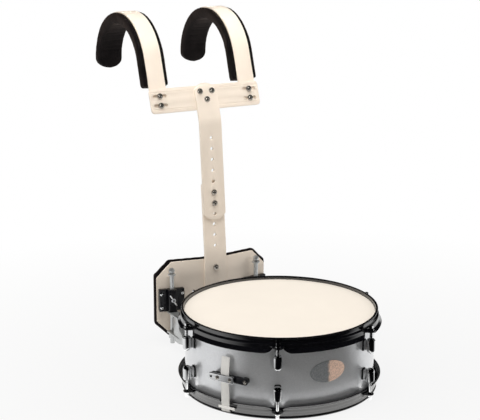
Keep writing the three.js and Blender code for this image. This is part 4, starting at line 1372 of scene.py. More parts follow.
class BuildShell(bpy.types.Operator):
    """Turns the lacquered shell with its bearing edges"""

    bl_idname = "snare.shell"
    bl_label = "Shell"

    def execute(self, context):
        top = -film - gap
        bottom = -head_span - top
        inner = shell_radius - shell_wall
        edge = shell_radius - bearing_flat
        section = [
            (edge, bottom),
            (shell_radius, bottom + bearing_flat),
            (shell_radius, top - bearing_flat),
            (edge, top),
            (inner, top - bearing_bevel),
            (inner, bottom + bearing_bevel),
        ]
        bm = turned(eased(section, shell_easing, 2), drum_segments)
        for face in bm.faces:
            face.material_index = 1 if face.calc_center_median().to_2d().length < edge else 0
        coats = [finish(context, "lacquer"), finish(context, "maple")]
        finished("lacquered_shell", bm, coats, ["shell"])
        return {"FINISHED"}


class BuildHeads(bpy.types.Operator):
    """Stretches both heads over the bearing edges, each with its flesh hoop"""

    bl_idname = "snare.heads"
    bl_label = "Heads"

    def execute(self, context):
        edge = shell_radius - bearing_flat
        inner = shell_radius + gap
        foot = -flesh_drop - flesh_height
        section = [
            (0, 0),
            *((reach, 0) for reach in head_rings),
            *((edge + out, -down) for out, down in collar_edge),
            *((collar_outer - back, -down) for back, down in collar_outside),
            (collar_outer, -flesh_drop),
            (flesh_outer - flesh_corner, -flesh_drop),
            (flesh_outer, -flesh_drop - flesh_corner),
            (flesh_outer, foot + flesh_corner),
            (flesh_outer - flesh_corner, foot),
            (inner + flesh_inner_corner, foot),
            (inner, foot + flesh_inner_corner),
            *((inner - back, -down) for back, down in collar_inside),
            (edge - film_bend, -film),
            (0, -film),
        ]
        # The film is cast in a channel, the flesh hoop, which only the hoop's notches show. The channel has
        # the black casting finish so that the notches read dark: painted shade.
        upper = turned(section, drum_segments)
        for face in upper.faces:
            centre = face.calc_center_median()
            below = centre.z < -flesh_drop - film and centre.to_2d().length > shell_radius - film
            face.material_index = 1 if below else 0
        under = moved(upper.copy(), SNARE_SIDE)
        rows = (
            ("coated_head", upper, "head", "batter_head"),
            ("snare_side_head", under, "snare_film", "snare_head"),
        )
        for name, solid, coat, node in rows:
            coats = [finish(context, coat), finish(context, "casting")]
            finished(name, solid, coats, [node], angle=50)
        return {"FINISHED"}


def away(azimuth, place):
    """Signed angle from a place round the drum to an azimuth."""
    return (azimuth - place + 180) % 360 - 180


def skirt_edge(azimuth, gates):
    """Height of the skirt's edge at an azimuth: it rises round each ear, and round the snare gates."""
    height = -skirt_drop
    for i in range(lug_count):
        off = away(azimuth, first_lug + i * lug_step)
        across = abs(skirt_outer * math.sin(math.radians(off)))
        if abs(off) > lug_step or across >= notch_wide:
            continue
        share = 1.0
        if across > notch_narrow:
            share = 1 - math.sqrt((across - notch_narrow) / (notch_wide - notch_narrow))
        height = max(height, min(-skirt_drop + notch_rise * share**notch_power, -ear_notch_top))
    for gate in gates:
        off = away(azimuth, gate)
        if abs(off) < lug_step and abs(skirt_outer * math.sin(math.radians(off))) < gate_half:
            height = -notch_foot
    return height


def hoop_azimuths(gates):
    """Azimuths of a hoop's sections: even ones, and more where its skirt changes height."""
    places = [360 * k / hoop_segments - 180 for k in range(hoop_segments)]
    narrowing = [(1 - k / notch_steps) ** 2 for k in range(notch_steps + 1)]
    reaches = [notch_narrow + (notch_wide - notch_narrow) * share for share in narrowing]
    breaks = [(first_lug + i * lug_step, reaches) for i in range(lug_count)]
    breaks += [(gate, (gate_half - gate_step, gate_half + gate_step)) for gate in gates]
    for middle, halves in breaks:
        for side in (-1, 1):
            places += [middle + side * math.degrees(math.asin(half / skirt_outer)) for half in halves]
    places = sorted(away(place, 0) for place in places)
    made = [places[0]]
    for place in places[1:]:
        if place - made[-1] > least_turn:
            made.append(place)
    return made


def hoop_section(edge):
    """A hoop's section at one azimuth, as (radius, height) points in one round."""
    section = [(wall_inner + out, lip_rise - down) for out, down in lip_inside]
    section += [(lip_outer - back, lip_rise - down) for back, down in lip_roll]
    section += [(wall_outer + out, lip_rise - down) for out, down in lip_neck]
    section += [(wall_outer + out, step_top + up) for out, up in step_inside]
    section += [(hoop_outer - back, step_top - down) for back, down in step_outside]
    top = section[-1][1]
    slope = skirt_flare / (skirt_drop + flare_start)
    heights = [top + (edge - top) * share for share in skirt_shares]
    outer = [(hoop_outer + max(flare_start - z, 0) * slope, z) for z in heights]
    tip, low = outer[-1]
    inner = [(radius - sheet, max(z, edge)) for radius, z in reversed(outer)]
    outer[-1] = (tip, low + rim_rise)
    inner[0] = (tip - sheet, low + rim_rise)
    rim = [(tip - rim_corner, low), (tip - sheet / 2, low - rim_crown), (tip - sheet + rim_corner, low)]
    back = [
        (hoop_inner, step_under - step_corner),
        (hoop_inner - step_corner, step_under),
        (wall_inner, step_under),
    ]
    return section + outer + rim + inner + back


def hoop_solid(gates):
    """A flanged hoop, whose skirt is cut away at the gates."""
    bm = bmesh.new()
    rings = []
    for azimuth in hoop_azimuths(gates):
        turn = math.radians(azimuth)
        section = hoop_section(skirt_edge(azimuth, gates))
        rings.append([bm.verts.new((r * math.sin(turn), -r * math.cos(turn), z)) for r, z in section])
    for one, other in zip(rings, rings[1:] + rings[:1]):
        bridge(bm, one, other)
    bmesh.ops.recalc_face_normals(bm, faces=bm.faces[:])
    return bm


def ear_solid():
    """One ear, which points out at the front of the drum."""
    half = ear_width / 2
    root = (hoop_inner + hoop_outer) / 2
    middle = rod_circle + ear_reach - half
    sweep = [(half + side, root + out) for side, out in ear_root]
    outline = [(-x, y) for x, y in reversed(sweep)] + sweep
    outline += [(half * math.cos(t), middle + half * math.sin(t)) for t in angles(0, math.pi, 12)]
    bm = plate([outline, hole(0, rod_circle, rod_radius + bore_clearance)], sheet, sheet_edge)
    return bent(bm, lambda x, y, z: Vector((x, -z, -ear_drop - y)))


class BuildHoops(bpy.types.Operator):
    """Rolls the two flanged hoops, with scalloped skirts and six ears each"""

    bl_idname = "snare.hoops"
    bl_label = "Hoops"

    def execute(self, context):
        black = finish(context, "enamel")
        gates = (butt_azimuth, strainer_azimuth)
        for row, node, cuts, place in (("upper", "top", (), UPRIGHT), ("lower", "bottom", gates, SNARE_SIDE)):
            hoop = moved(hoop_solid(cuts), place)
            finished(f"{row}_hoop", hoop, black, [f"{node}_hoop"], angle=40)
            ears = turned_mesh(round_drum(ear_solid(), black), place)
            finished(f"{row}_hoop_ears", ears, black, body="drum")
        return {"FINISHED"}


def lug_bullet():
    """Bullet with a domed foot end and a mouth for the rod, open down its bore. It hangs below Z = 0."""
    bore = rod_radius + bore_clearance
    profile = [
        (0, -lug_bore),
        (bore, -lug_bore),
        (bore, 0),
        (lug_mouth_radius - lug_mouth_corner, 0),
        (lug_mouth_radius, -lug_mouth_corner),
        (lug_mouth_radius, -lug_mouth_height),
        (lug_radius - lug_corner, -lug_mouth_height),
        (lug_radius, -lug_mouth_height - lug_corner),
    ]
    for turn in angles(0, math.pi / 2, lug_dome_steps)[:-1]:
        height = -lug_height + lug_dome * (1 - math.sin(turn))
        profile.append((lug_radius * math.cos(turn) ** lug_dome_power, height))
    bullet = turned([*profile, (0, -lug_height)])
    half = lug_foot_width / 2
    low = -lug_foot_inset - lug_foot_height
    reach = rod_circle - shell_radius - lug_foot_stand - lug_radius / 2
    foot = plate([box_outline(-half, half, low, -lug_foot_inset, lug_foot_corner)], reach, fine_edge)
    return joined(bullet, moved(foot, shift(0, lug_radius / 2, 0)))


def lug_gasket():
    """Rubber below the lug's foot, curved to the shell."""
    half = lug_foot_width / 2 + gasket_side
    low = -lug_foot_inset - lug_foot_height - gasket_end
    outline = box_outline(-half, half, low, -lug_foot_inset + gasket_end, gasket_corner)
    bm = cut_at(plate([outline], gasket_thickness, fine_edge), 0, gasket_bends)
    back = shell_radius + gasket_stand
    front = rod_circle - gasket_thickness
    return bent(bm, lambda x, y, z: Vector((x, front - math.sqrt(back * back - x * x) + y, z)))


class BuildLugs(bpy.types.Operator):
    """Casts twelve chrome bullet lugs, each on a rubber gasket"""

    bl_idname = "snare.lugs"
    bl_label = "Lugs"

    def execute(self, context):
        bright, rubber = finish(context, "chrome"), finish(context, "rubber")
        rows = (
            ("upper", "top", shift(0, -rod_circle, -top_lug_drop)),
            ("lower", "bottom", shift(0, -rod_circle, -bottom_lug_drop - lug_height) @ FLIP),
        )
        for row, word, place in rows:
            nodes = [f"{word}_lug_{i + 1}" for i in range(lug_count)]
            bullets = round_drum(moved(lug_bullet(), place), bright)
            finished(f"{row}_lug_bullets", bullets, bright, nodes, "drum", 40)
            gaskets = round_drum(moved(lug_gasket(), place), rubber)
            finished(f"{row}_lug_gaskets", gaskets, rubber, (), "drum", 40)
        return {"FINISHED"}


def rod_solid(tip):
    """Tension rod of the upper row with its key head and washer, on the drum's axis."""
    washer_foot = -ear_drop + gap
    flange_foot = washer_foot + washer_height
    key_foot = flange_foot + flange_height
    shank = rod_radius - thread_depth
    shaft = [
        (0, tip),
        (rod_radius - rod_chamfer, tip),
        (shank, tip + rod_lead),
        (shank, washer_foot),
        (0, washer_foot),
    ]
    flange = [
        (0, flange_foot),
        (flange_radius, flange_foot),
        (flange_radius, flange_foot + flange_rim),
        (flange_top_radius, key_foot),
        (0, key_foot),
    ]
    half = key_side / 2
    key = plate([box_outline(-half, half, -half, half, key_corner)], key_height + key_sunk, key_edge, 3)
    return joined(
        lathed(shaft, shank_edge),
        lathed(round_bar(washer_radius, washer_foot, flange_foot), fine_edge, 36),
        lathed(flange, flange_edge, 36),
        laid_flat(key, key_foot - key_sunk),
    )


class BuildRods(bpy.types.Operator):
    """Turns twelve tension rods with key heads, washers and rolled threads"""

    bl_idname = "snare.rods"
    bl_label = "Tension rods"

    def execute(self, context):
        sizes = choices(context)[0]
        bright = finish(context, "chrome")
        rows = (
            ("top", "upper", -top_lug_drop - rod_engagement, UPRIGHT),
            ("bottom", "lower", bottom_lug_drop + lug_height - head_span - rod_engagement, SNARE_SIDE),
        )
        thread_sizes = {
            "Length": thread_length * METRE,
            "Coil radius": (rod_radius - thread_coil_inset) * METRE,
            "Wire radius": thread_wire * METRE,
            "Turns": thread_length * METRE / sizes.thread_pitch,
            "Points per turn": 12,
            "Wire sides": 4,
            "Coils": 1,
            "Spacing": 0.0,
            "Finish": bright,
        }
        for word, row, tip, place in rows:
            for i in range(lug_count):
                thread = grown(tree_for("coil"), thread_sizes)
                wound = bmesh.new()
                wound.from_mesh(thread)
                bpy.data.meshes.remove(thread)
                wound.transform(shift(0, 0, tip + thread_start) @ Matrix.Scale(1 / METRE, 4))
                solid = moved(joined(rod_solid(tip), wound), place @ shift(0, -rod_circle, 0))
                mesh = round_drum(solid, bright, 1, first_lug + i * lug_step)
                name, node = f"{row}_tension_rod_{i + 1}", f"{word}_rod_{i + 1}"
                finished(name, mesh, bright, [node], angle=40)
        return {"FINISHED"}


class BuildBadge(bpy.types.Operator):
    """Presses the blank foil badge on the shell"""

    bl_idname = "snare.badge"
    bl_label = "Badge"

    def execute(self, context):
        colours = choices(context)[1]
        turns = angles(0, 2 * math.pi, badge_sides)[:-1]
        outline = [
            (badge_half_width * math.cos(t), -badge_drop + badge_half_height * math.sin(t)) for t in turns
        ]
        bm = plate([outline], badge_thickness, fine_edge)
        cut_at(bm, 0, [badge_bend_step * k for k in range(-8, 9)])
        back = shell_radius + gap

        def lay(x, y, z):
            turn = x / back
            reach = back + badge_thickness - y
            return Vector((reach * math.sin(turn), -reach * math.cos(turn), z))

        foil = badge_foil(colours.foil_dark_reflection, colours.foil_bright_reflection)
        finished("foil_badge", bent(bm, lay), foil, ["badge"])
        return {"FINISHED"}


def strap_piece(tail):
    """A snare strap from its tail, given as (reach, Z), down past the hoop and in under the head."""
    foot = [
        (strap_run, -head_span + skirt_drop + strap_straight),
        *((strap_run - back, strap_middle + up) for back, up in strap_bend),
        (wire_plate_outer - strap_lap, strap_middle),
    ]
    run = Run([(-reach, z) for reach, z in [*tail, *foot]])
    half = strap_width / 2
    outline = box_outline(-half, half, 0, run.total, strap_corner)
    bm = cut_at(plate([outline], strap_thickness, strip_edge), 2, run.lengths[1:-1])
    # The run goes down, so its normal points towards the drum
    return bent(bm, lambda x, y, z: run.place(x, strap_thickness / 2 - y, z))


def gate_bar_piece():
    """Bar across a snare gate, in front of the strap."""
    inner = strap_run + strap_thickness / 2 - gap
    bm = plate([box_outline(*gate_bar, gate_bar_corner)], gate_bar_thickness, sheet_edge)
    return moved(bm, shift(0, -inner - gate_bar_thickness, 0))


class BuildSnares(bpy.types.Operator):
    """Winds the snare wires and lays them with their end plates under the snare-side head"""

    bl_idname = "snare.wires"
    bl_label = "Snare wires"

    def execute(self, context):
        sizes = choices(context)[0]
        wire = finish(context, "wire")
        reach = (sizes.coil_radius + sizes.wire_radius) / METRE
        length = (strand_span - 2 * strand_end) * METRE
        half_row = (strand_count - 1) * strand_pitch / 2
        mesh = grown(
            tree_for("coil"),
            {
                "Length": length,
                "Coil radius": sizes.coil_radius,
                "Wire radius": sizes.wire_radius,
                "Turns": length / sizes.coil_pitch,
                "Points per turn": 8,
                "Wire sides": 3,
                "Coils": strand_count,
                "Spacing": strand_pitch * METRE,
                "Finish": wire,
            },
        )
        along = shift(-half_row, -strand_span / 2 + strand_end, wire_top - reach) @ spin(-90, "X")
        turned_mesh(mesh, spin(butt_azimuth) @ along)
        finished("snare_coils", mesh, wire, ["snare_wires"], angle=60)
        half = half_row + wire_plate_side
        ends = []
        for side in (-1, 1):
            y0, y1 = sorted((side * wire_plate_inner, side * wire_plate_outer))
            middle = (y0 + y1) / 2 + side * wire_hole_out
            holes = [hole(x, middle, wire_hole_radius, 12) for x in wire_plate_holes]
            bm = plate([box_outline(-half, half, y0, y1, wire_plate_corner), *holes], wire_plate, strip_edge)
            ends.append(bent(bm, lambda x, y, z: Vector((x, z, wire_top - y))))
        plates = moved(joined(*ends), spin(butt_azimuth))
        finished("snare_end_plates", plates, finish(context, "chrome"), body="drum")
        return {"FINISHED"}


class BuildButt(bpy.types.Operator):
    """Fixes the butt plate, its clamp and the snare strap at the front left"""

    bl_idname = "snare.butt"
    bl_label = "Butt plate"

    def execute(self, context):
        station = spin(butt_azimuth)
        low, high = -butt_drop - butt_height / 2, -butt_drop + butt_height / 2
        bracket = plate([box_outline(*butt_ends, low, high, butt_corner)], butt_thickness, cast_edge, 3)
        parts = [moved(bracket, shift(0, -butt_stand, 0))]
        for x in post_places:
            outline = box_outline(-post_half, post_half, low + post_inset, high - post_inset, post_corner)
            parts.append(moved(plate([outline], post_depth), shift(x, -butt_stand + post_start, 0)))
        bracket = moved(joined(*parts), station)
        finished("butt_plate_bracket", bracket, finish(context, "casting"), ["butt_bracket"])
        low, high = -butt_drop - clamp_height / 2, -butt_drop + clamp_height / 2
        loops = [
            box_outline(*clamp_ends, low, high, clamp_corner),
            hole(clamp_hole_x, -butt_drop, clamp_hole_radius),
        ]
        bar = moved(plate(loops, clamp_thickness, clamp_edge, 3), station @ shift(0, clamp_front, 0))
        finished("strap_clamp_bar", bar, finish(context, "chrome"), ["butt_clamp"])
        dark = finish(context, "bolt")
        rows = (
            ("strap_clamp_screws", [(side * clamp_screw_x, clamp_front, -butt_drop) for side in (-1, 1)]),
            ("butt_plate_screw", [(butt_screw_x, -butt_stand, -butt_drop)]),
        )
        for name, places in rows:
            fixings(name, hex_head(*small_screw), dark, places, station, body="drum")
        middle = butt_stand + gap + strap_thickness / 2
        tail = [
            (middle - tail_lean, -tail_top_drop),
            (middle, -butt_drop + butt_height),
            (middle, -butt_drop - butt_height),
        ]
        strap = moved(strap_piece(tail), station)
        finished("butt_film_strap", strap, finish(context, "strap"), ["butt_strap"])
        bar = moved(gate_bar_piece(), station)
        finished("butt_gate_bar", bar, finish(context, "gate"), body="drum")
        return {"FINISHED"}


class BuildStrainer(bpy.types.Operator):
    """Builds the strainer: body, lever, slider, tension knob and strap"""

    bl_idname = "snare.strainer"
    bl_label = "Strainer"

    def execute(self, context):
        station = spin(strainer_azimuth)
        bright = finish(context, "chrome")
        pivot = shift(0, pivot_y, -pivot_drop)
        across = spin(90, "Y")
        face = shift(0, -strainer_stand - gap - slider_thickness, 0)
        half = strainer_half_width
        outline = box_outline(-half, half, strainer_bottom, strainer_top, strainer_corner)
        body = plate([outline], strainer_depth, strainer_edge, 3)
        parts = [moved(body, shift(0, -strainer_stand, 0))]
        half = cheek_half
        cheek_loop = box_outline(-half, half, -pivot_drop - half, -pivot_drop + half, cheek_corner)
        for side in (-1, 1):
            middle = side * (lever_width / 2 + gap + cheek_thickness / 2)
            cheek = plate([cheek_loop], cheek_thickness, sheet_edge)
            parts.append(on_edge(cheek, middle - cheek_thickness / 2, -strainer_stand - cheek_stand))
            start = slider_width / 2 + gap
            x0, x1 = sorted((side * start, side * (start + rail_side)))
            rail = box_outline(x0, x1, strainer_bottom + rail_foot, slider_ends[1], rail_corner)
            parts.append(moved(plate([rail], rail_side, rail_edge), face))
            cap = lathed(pivot_cap, fine_edge)
            parts.append(moved(cap, pivot @ shift(middle + side * cap_out, 0, 0) @ spin(90 * side, "Y")))
        pin = turned(round_bar(pivot_radius, -pivot_half_length, pivot_half_length), 24)
        parts.append(moved(pin, pivot @ across))
        finished("strainer_housing", moved(joined(*parts), station), bright, ["strainer_body"])

        end = -pivot_drop - lever_length
        half = lever_width / 2
        tip = lever_tip_half
        outline = eased([(-tip, end), (tip, end), (half, -pivot_drop), (-half, -pivot_drop)], lever_corner)
        arm = moved(plate([outline], lever_thickness, cast_edge, 3), shift(0, pivot_y - lever_boss, 0))
        ring = [(lever_bore, -half), (lever_boss, -half), (lever_boss, half), (lever_bore, half)]
        boss = moved(turned(eased(ring, lever_edge, 3), 36), pivot @ across)
        finished("throw_off_lever", moved(joined(arm, boss), station), bright, ["strainer_lever"])

        half = slider_width / 2
        slide = plate([box_outline(-half, half, *slider_ends, slider_corner)], slider_thickness, sheet_edge)
        slide = moved(slide, face)
        finished("strap_slider", moved(slide, station), bright, ["strainer_slider"])

        foot = strainer_top + gap
        knob = lathed(round_bar(knob_radius, foot, foot + knob_height), knob_edge, 96)
        for vert in knob.verts:
            if vert.co.to_2d().length > knob_radius - knob_rim:
                turn = math.atan2(vert.co.y, vert.co.x)
                share = 1 - knob_rib_share * (1 - math.cos(knob_ribs * turn)) / 2
                vert.co.x *= share
                vert.co.y *= share
        stem = turned(round_bar(stem_radius, foot - stem_length, foot + gap), 24)
        knob = moved(joined(knob, stem), station @ shift(0, -knob_out, 0))
        finished("snare_tension_knob", knob, finish(context, "casting"), ["tension_knob"])

        tail = [(strainer_stand + slider_thickness / 2, slider_ends[0] - gap)]
        strap = moved(strap_piece(tail), station)
        film_coat = finish(context, "strap")
        piece = finished(
            "strainer_film_strap", strap, film_coat, ["strainer_strap"], body="blend"
        )
        turn = math.radians(strainer_azimuth)
        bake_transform(piece)
        bar = moved(gate_bar_piece(), station)
        finished("strainer_gate_bar", bar, finish(context, "gate"), body="drum")
        return {"FINISHED"}


def folded(front):
    """Rule that lays a flat sheet in X and Z as the belly plate: a flat middle and two wings."""
    start, end = plate_flat - fold_reach, plate_flat + fold_reach

    def rule(x, y, z):
        u = abs(x)
        # The fold is an arc, whose turn grows evenly along the sheet
        along = min(max(u - start, 0), end - start)
        beyond = max(u - end, 0)
        turn = wing_angle * along / (end - start)
        across = min(u, start) + along * (1 - turn * turn / 6) + beyond * math.cos(turn) - math.sin(turn) * y
        back = along * turn / 2 + beyond * math.sin(turn) + math.cos(turn) * y
        return Vector((math.copysign(across, x), front + back, z))

    return rule


def octagon(margin):
    """Outline of the belly plate or its pad, a margin larger than the plate."""
    half = plate_flat + (plate_half_width - plate_flat) / math.cos(wing_angle) + margin
    top = plate_top + margin
    bottom = plate_bottom - margin
    corner = plate_corner
    right = [(half - corner, bottom), (half, bottom + corner), (half, top - corner), (half - corner, top)]
    left = [(-x, z) for x, z in reversed(right)]
    return eased([left[-1], *right, *left[:-1]], plate_easing)


class BuildBellyPlate(bpy.types.Operator):
    """Folds the belly plate and swells its foam pad"""

    bl_idname = "snare.belly"
    bl_label = "Belly plate and pad"

    def execute(self, context):
        folds = [side * (plate_flat + fold_reach * k / 3) for side in (-1, 1) for k in range(-3, 4)]
        bm = cut_at(plate([octagon(0)], plate_thickness, paint_edge, 3), 0, folds)
        bm = bent(bm, folded(plate_y))
        finished("folded_belly_plate", bm, finish(context, "paint"), ["belly_plate"])
        places = [(0, lower_front - gap, z) for z in plate_bolts]
        dark = finish(context, "bolt")
        fixings("belly_plate_bolts", hex_head(*bolt_head), dark, places, body="carrier")
        bm = plate([octagon(pad_margin + belly_pad_lap)], pad_thickness + pad_crown, belly_pad_edge, 3)
        bm = bent(cut_at(bm, 0, folds), folded(plate_y + plate_thickness + gap))
        pad("belly_foam_pad", bm, context, "belly_pad")
        return {"FINISHED"}


def front_at(z, bend):
    """Front face of a bar at a height. Its slope turns evenly from one lean to another round its bend."""
    height, front, low, high = bend
    low, high = math.tan(low), math.tan(high)
    back = z - height + bend_reach
    if back <= 0:
        return front + (z - height) * low
    if back >= 2 * bend_reach:
        return front + (z - height) * high
    return front - bend_reach * low + back * low + (high - low) * back * back / (4 * bend_reach)


upper_setback = (bar_thickness + gap) / math.cos(bar_lean)
bend_y = lower_front + (upper_bar_bend - lower_bar_bend) * math.tan(bar_lean) - upper_setback
head_z = upper_bar_bend + upper_bar_head * math.cos(top_lean)
# Height of each bar's bend, its front there, and its lean below and above
lower_bend = (lower_bar_bend, lower_front, 0.0, bar_lean)
upper_bend = (upper_bar_bend, bend_y, bar_lean, top_lean)
tilted = (
    shift(0, bend_y + cross_centre * math.sin(top_lean), upper_bar_bend + cross_centre * math.cos(top_lean))
    @ Matrix.Rotation(-top_lean, 4, "X")
)


def bar_outline(bottom, top):
    """A bar with its ends rounded to arcs."""
    half = bar_width / 2
    radius = (half * half + bar_end_rise * bar_end_rise) / (2 * bar_end_rise)
    sweep = math.asin(half / radius)
    made = []
    for middle, centre in ((math.pi / 2, top - radius), (1.5 * math.pi, bottom + radius)):
        turns = angles(middle - sweep, middle + sweep, 16)
        made += [(radius * math.cos(t), centre + radius * math.sin(t)) for t in turns]
    return made


def upright_bar(bottom, top, bend, steps, edge):
    """A bent flat bar, with holes at these steps above or below the first."""
    height, _, low, high = bend
    holes = [hole(0, first_hole + i * hole_rise, hole_radius) for i in steps]
    bm = plate([bar_outline(bottom, top), *holes], bar_thickness, edge, 3)
    cut_at(bm, 2, [height + bend_step * k for k in range(-4, 5)])

    def lay(x, y, z):
        return Vector((x, front_at(z, bend) + y / math.cos(low if z <= height else high), z))

    return bent(bm, lay)


def crossbar_solid(edge, depth):
    """The slotted crossbar, with two lines pressed along its front."""
    slots = [
        slot_hole(side * slot_x, z, slot_half_length, slot_half_width)
        for side in (-1, 1)
        for z in (-slot_step, slot_step)
    ]
    half, rise = cross_half_length, cross_half_height
    bm = plate([box_outline(-half, half, -rise, rise, cross_corner), *slots], cross_thickness, edge, 3)
    for side in (-1, 1):
        cut_at(bm, 2, [side * (ridge_z + k) for k in ridge_cuts])
    for vert in bm.verts:
        x, y, z = vert.co
        if abs(abs(z) - ridge_z) < ridge_half and y < ridge_skin and abs(x) < half - ridge_end:
            vert.co.y += depth
    return bm


class BuildUprights(bpy.types.Operator):
    """Cuts and bends the two upright bars and the crossbar, with their bolts"""

    bl_idname = "snare.uprights"
    bl_label = "Upright bars and crossbar"

    def execute(self, context):
        sizes = choices(context)[0]
        edge = sizes.edge / METRE * edge_share
        lower = upright_bar(*lower_bar_ends, lower_bend, range(-3, 1), edge)
        upper = upright_bar(upper_bar_bottom, head_z, upper_bend, range(8), edge)
        cross = moved(crossbar_solid(edge, sizes.ridge_depth / METRE), tilted @ shift(0, cross_front, 0))
        rows = (
            ("lower_upright_bar", "lower_bar", lower),
            ("upper_upright_bar", "upper_bar", upper),
            ("slotted_crossbar", "crossbar", cross),
        )
        for name, node, solid in rows:
            finished(name, solid, finish(context, "paint"), [node])

        lean = Matrix.Rotation(-bar_lean, 4, "X")
        heights = [first_hole + i * hole_rise for i in (1, 2)]
        before = gap / math.cos(bar_lean)
        behind = 2 * (bar_thickness + gap) / math.cos(bar_lean)
        heads = [(0, front_at(z, upper_bend) - before, z) for z in heights]
        backs = [(0, front_at(z, upper_bend) + behind, z) for z in heights]
        fronts = [(x, 0, z) for x, z in cross_bolts]
        ends = [(x, cross_back + gap, z) for x, z in cross_bolts]
        rows = (
            ("crossbar_bolts", hex_head(*bolt_head), "bolt", fronts, tilted, "upright"),
            ("height_bolts", moved(hex_head(*bolt_head), lean), "bolt", heads, UPRIGHT, "carrier"),
            ("height_bolt_nuts", moved(hex_nut(*carrier_nut), lean), "chrome", backs, UPRIGHT, "carrier"),
            ("crossbar_nuts", hex_nut(*carrier_nut), "chrome", ends, tilted, "upright"),
        )
        for name, solid, coat, places, place, body in rows:
            fixings(name, solid, finish(context, coat), places, place, body=body)
        return {"FINISHED"}


def arch_points():
    """Outer face of a shoulder bar, from its foot behind the crossbar to its rear end, as (Y, Z)."""
    centre = tilted.translation
    foot_z = centre.z - strap_bar_foot * math.cos(top_lean)
    foot_y = centre.y - strap_bar_foot * math.sin(top_lean) + (cross_back + gap) / math.cos(top_lean)
    start = math.atan(math.tan(top_lean) * arch_rise / arch_half_span)
    start_z = arch_base + arch_rise * math.sin(start)
    start_y = foot_y + (start_z - foot_z) * math.tan(top_lean)
    middle = start_y + arch_half_span * math.cos(start)
    points = []
    for k in range(12):
        z = foot_z + (start_z - foot_z) * k / 12
        points.append((foot_y + (z - foot_z) * math.tan(top_lean), z))
    for turn in angles(start, math.pi, arch_steps):
        points.append((middle - arch_half_span * math.cos(turn), arch_base + arch_rise * math.sin(turn)))
    for k in range(1, 6):
        points.append((middle + arch_half_span, arch_base - arch_tail * k / 5))
    return points


def round_ended(half, start, end):
    """Outline of a strip along a run, with eased corners at its start and a rounded end."""
    corners = [(-half, end - arch_tail), (-half, start), (half, start), (half, end - arch_tail)]
    # Each corner is eased to five points, and only the two at the start are kept
    made = eased(corners, strap_bar_corner)[5:15]
    turns = angles(0, math.pi, 14)
    return made + [(half * math.cos(t), end - arch_tail + arch_tail * math.sin(t)) for t in turns]


class BuildShoulders(bpy.types.Operator):
    """Bends the two shoulder bars and pads, with the bolts in the crossbar's slots"""

    bl_idname = "snare.shoulders"
    bl_label = "Shoulder bars and pads"

    def execute(self, context):
        run = Run(arch_points())
        steps = [run.total * k / strip_steps for k in range(1, strip_steps)]
        half = strap_bar_width / 2
        cross_top = tilted.translation.z + cross_half_height * math.cos(top_lean) + shoulder_pad_clearance
        pad_start = (cross_top - run.points[0].y) / math.cos(top_lean) - shoulder_pad_lead
        depth = shoulder_pad_thickness + pad_crown
        laps = [side * (half + lap_start + out) for side in (-1, 1) for out in (0, lap_width)]

        def lay_pad(x, y, z):
            # The foam stands forward beyond the bar's edges
            lap = min(max((abs(x) - half - lap_start) / lap_width, 0), 1) * max(1 - y / depth, 0)
            return run.place(x, y + strap_bar_thickness + gap - lap_rise * lap, z)

        for side, word in ((-1, "right"), (1, "left")):
            aside = shift(side * slot_x, 0, 0)
            bm = plate([round_ended(half, 0, run.total)], strap_bar_thickness, paint_edge, 3)
            bm = moved(bent(cut_at(bm, 2, steps), run.place), aside)
            node = f"{word}_shoulder_bar"
            finished(f"{word}_shoulder_strap_bar", bm, finish(context, "paint"), [node])

            wide = shoulder_pad_width / 2 + shoulder_pad_side
            outline = round_ended(wide, pad_start, run.total - shoulder_pad_short)
            bm = cut_at(cut_at(plate([outline], depth, shoulder_pad_edge, 3), 2, steps), 0, laps)
            pad(f"{word}_shoulder_foam_pad", moved(bent(bm, lay_pad), aside), context, f"{word}_shoulder_pad")

            back = cross_back + strap_bar_thickness + 2 * gap
            dark, bright = finish(context, "bolt"), finish(context, "chrome")
            for z, row in ((-slot_step, "lower"), (slot_step, "upper")):
                node = f"{word}_shoulder_bolt_{row}"
                places = [(side * slot_x, cross_front - gap, z)]
                name = f"{word}_slot_bolt_{row}"
                fixings(name, hex_head(*bolt_head), dark, places, tilted, [node])
                places = [(side * slot_x, back, z)]
                name, body = f"{word}_slot_nut_{row}", BODY_OF[node]
                fixings(name, hex_nut(*carrier_nut), bright, places, tilted, body=body)
        return {"FINISHED"}


def fork_outline():
    """Side of a hanger: its web, and the fork that reaches under the rear lug."""
    lug_foot = -bottom_lug_drop - lug_height - gap
    corners = [
        (fork_tip, lug_foot - fork_tip_height),
        (fork_knee, lug_foot - fork_knee_height),
        (web_front, -web_bottom),
        (web_back, -web_bottom),
        (web_back, block_bottom - gap),
        (web_front, block_bottom - gap),
        (web_front, -fork_root_drop),
        (fork_root, lug_foot),
        (fork_tip, lug_foot),
    ]
    return eased(corners, fork_easing)


def clamp_block():
    """Clamp block with its bored boss, standing before the wing of the belly plate."""
    half, boss_half = block_width / 2, boss_width / 2
    parts = []
    for x0, x1 in ((-half, -boss_half), (boss_half, half)):
        wall = plate([box_outline(x0, x1, block_bottom, block_top, block_corner)], block_thickness - gap)
        parts.append(moved(wall, shift(0, -block_thickness, 0)))
    loops = [
        box_outline(-boss_half, boss_half, boss_front, -gap, boss_corner),
        hole(0, -rod_across, j_rod_radius + bore_clearance, 32),
    ]
    return joined(*parts, laid_flat(plate(loops, block_height, sheet_edge), block_bottom))


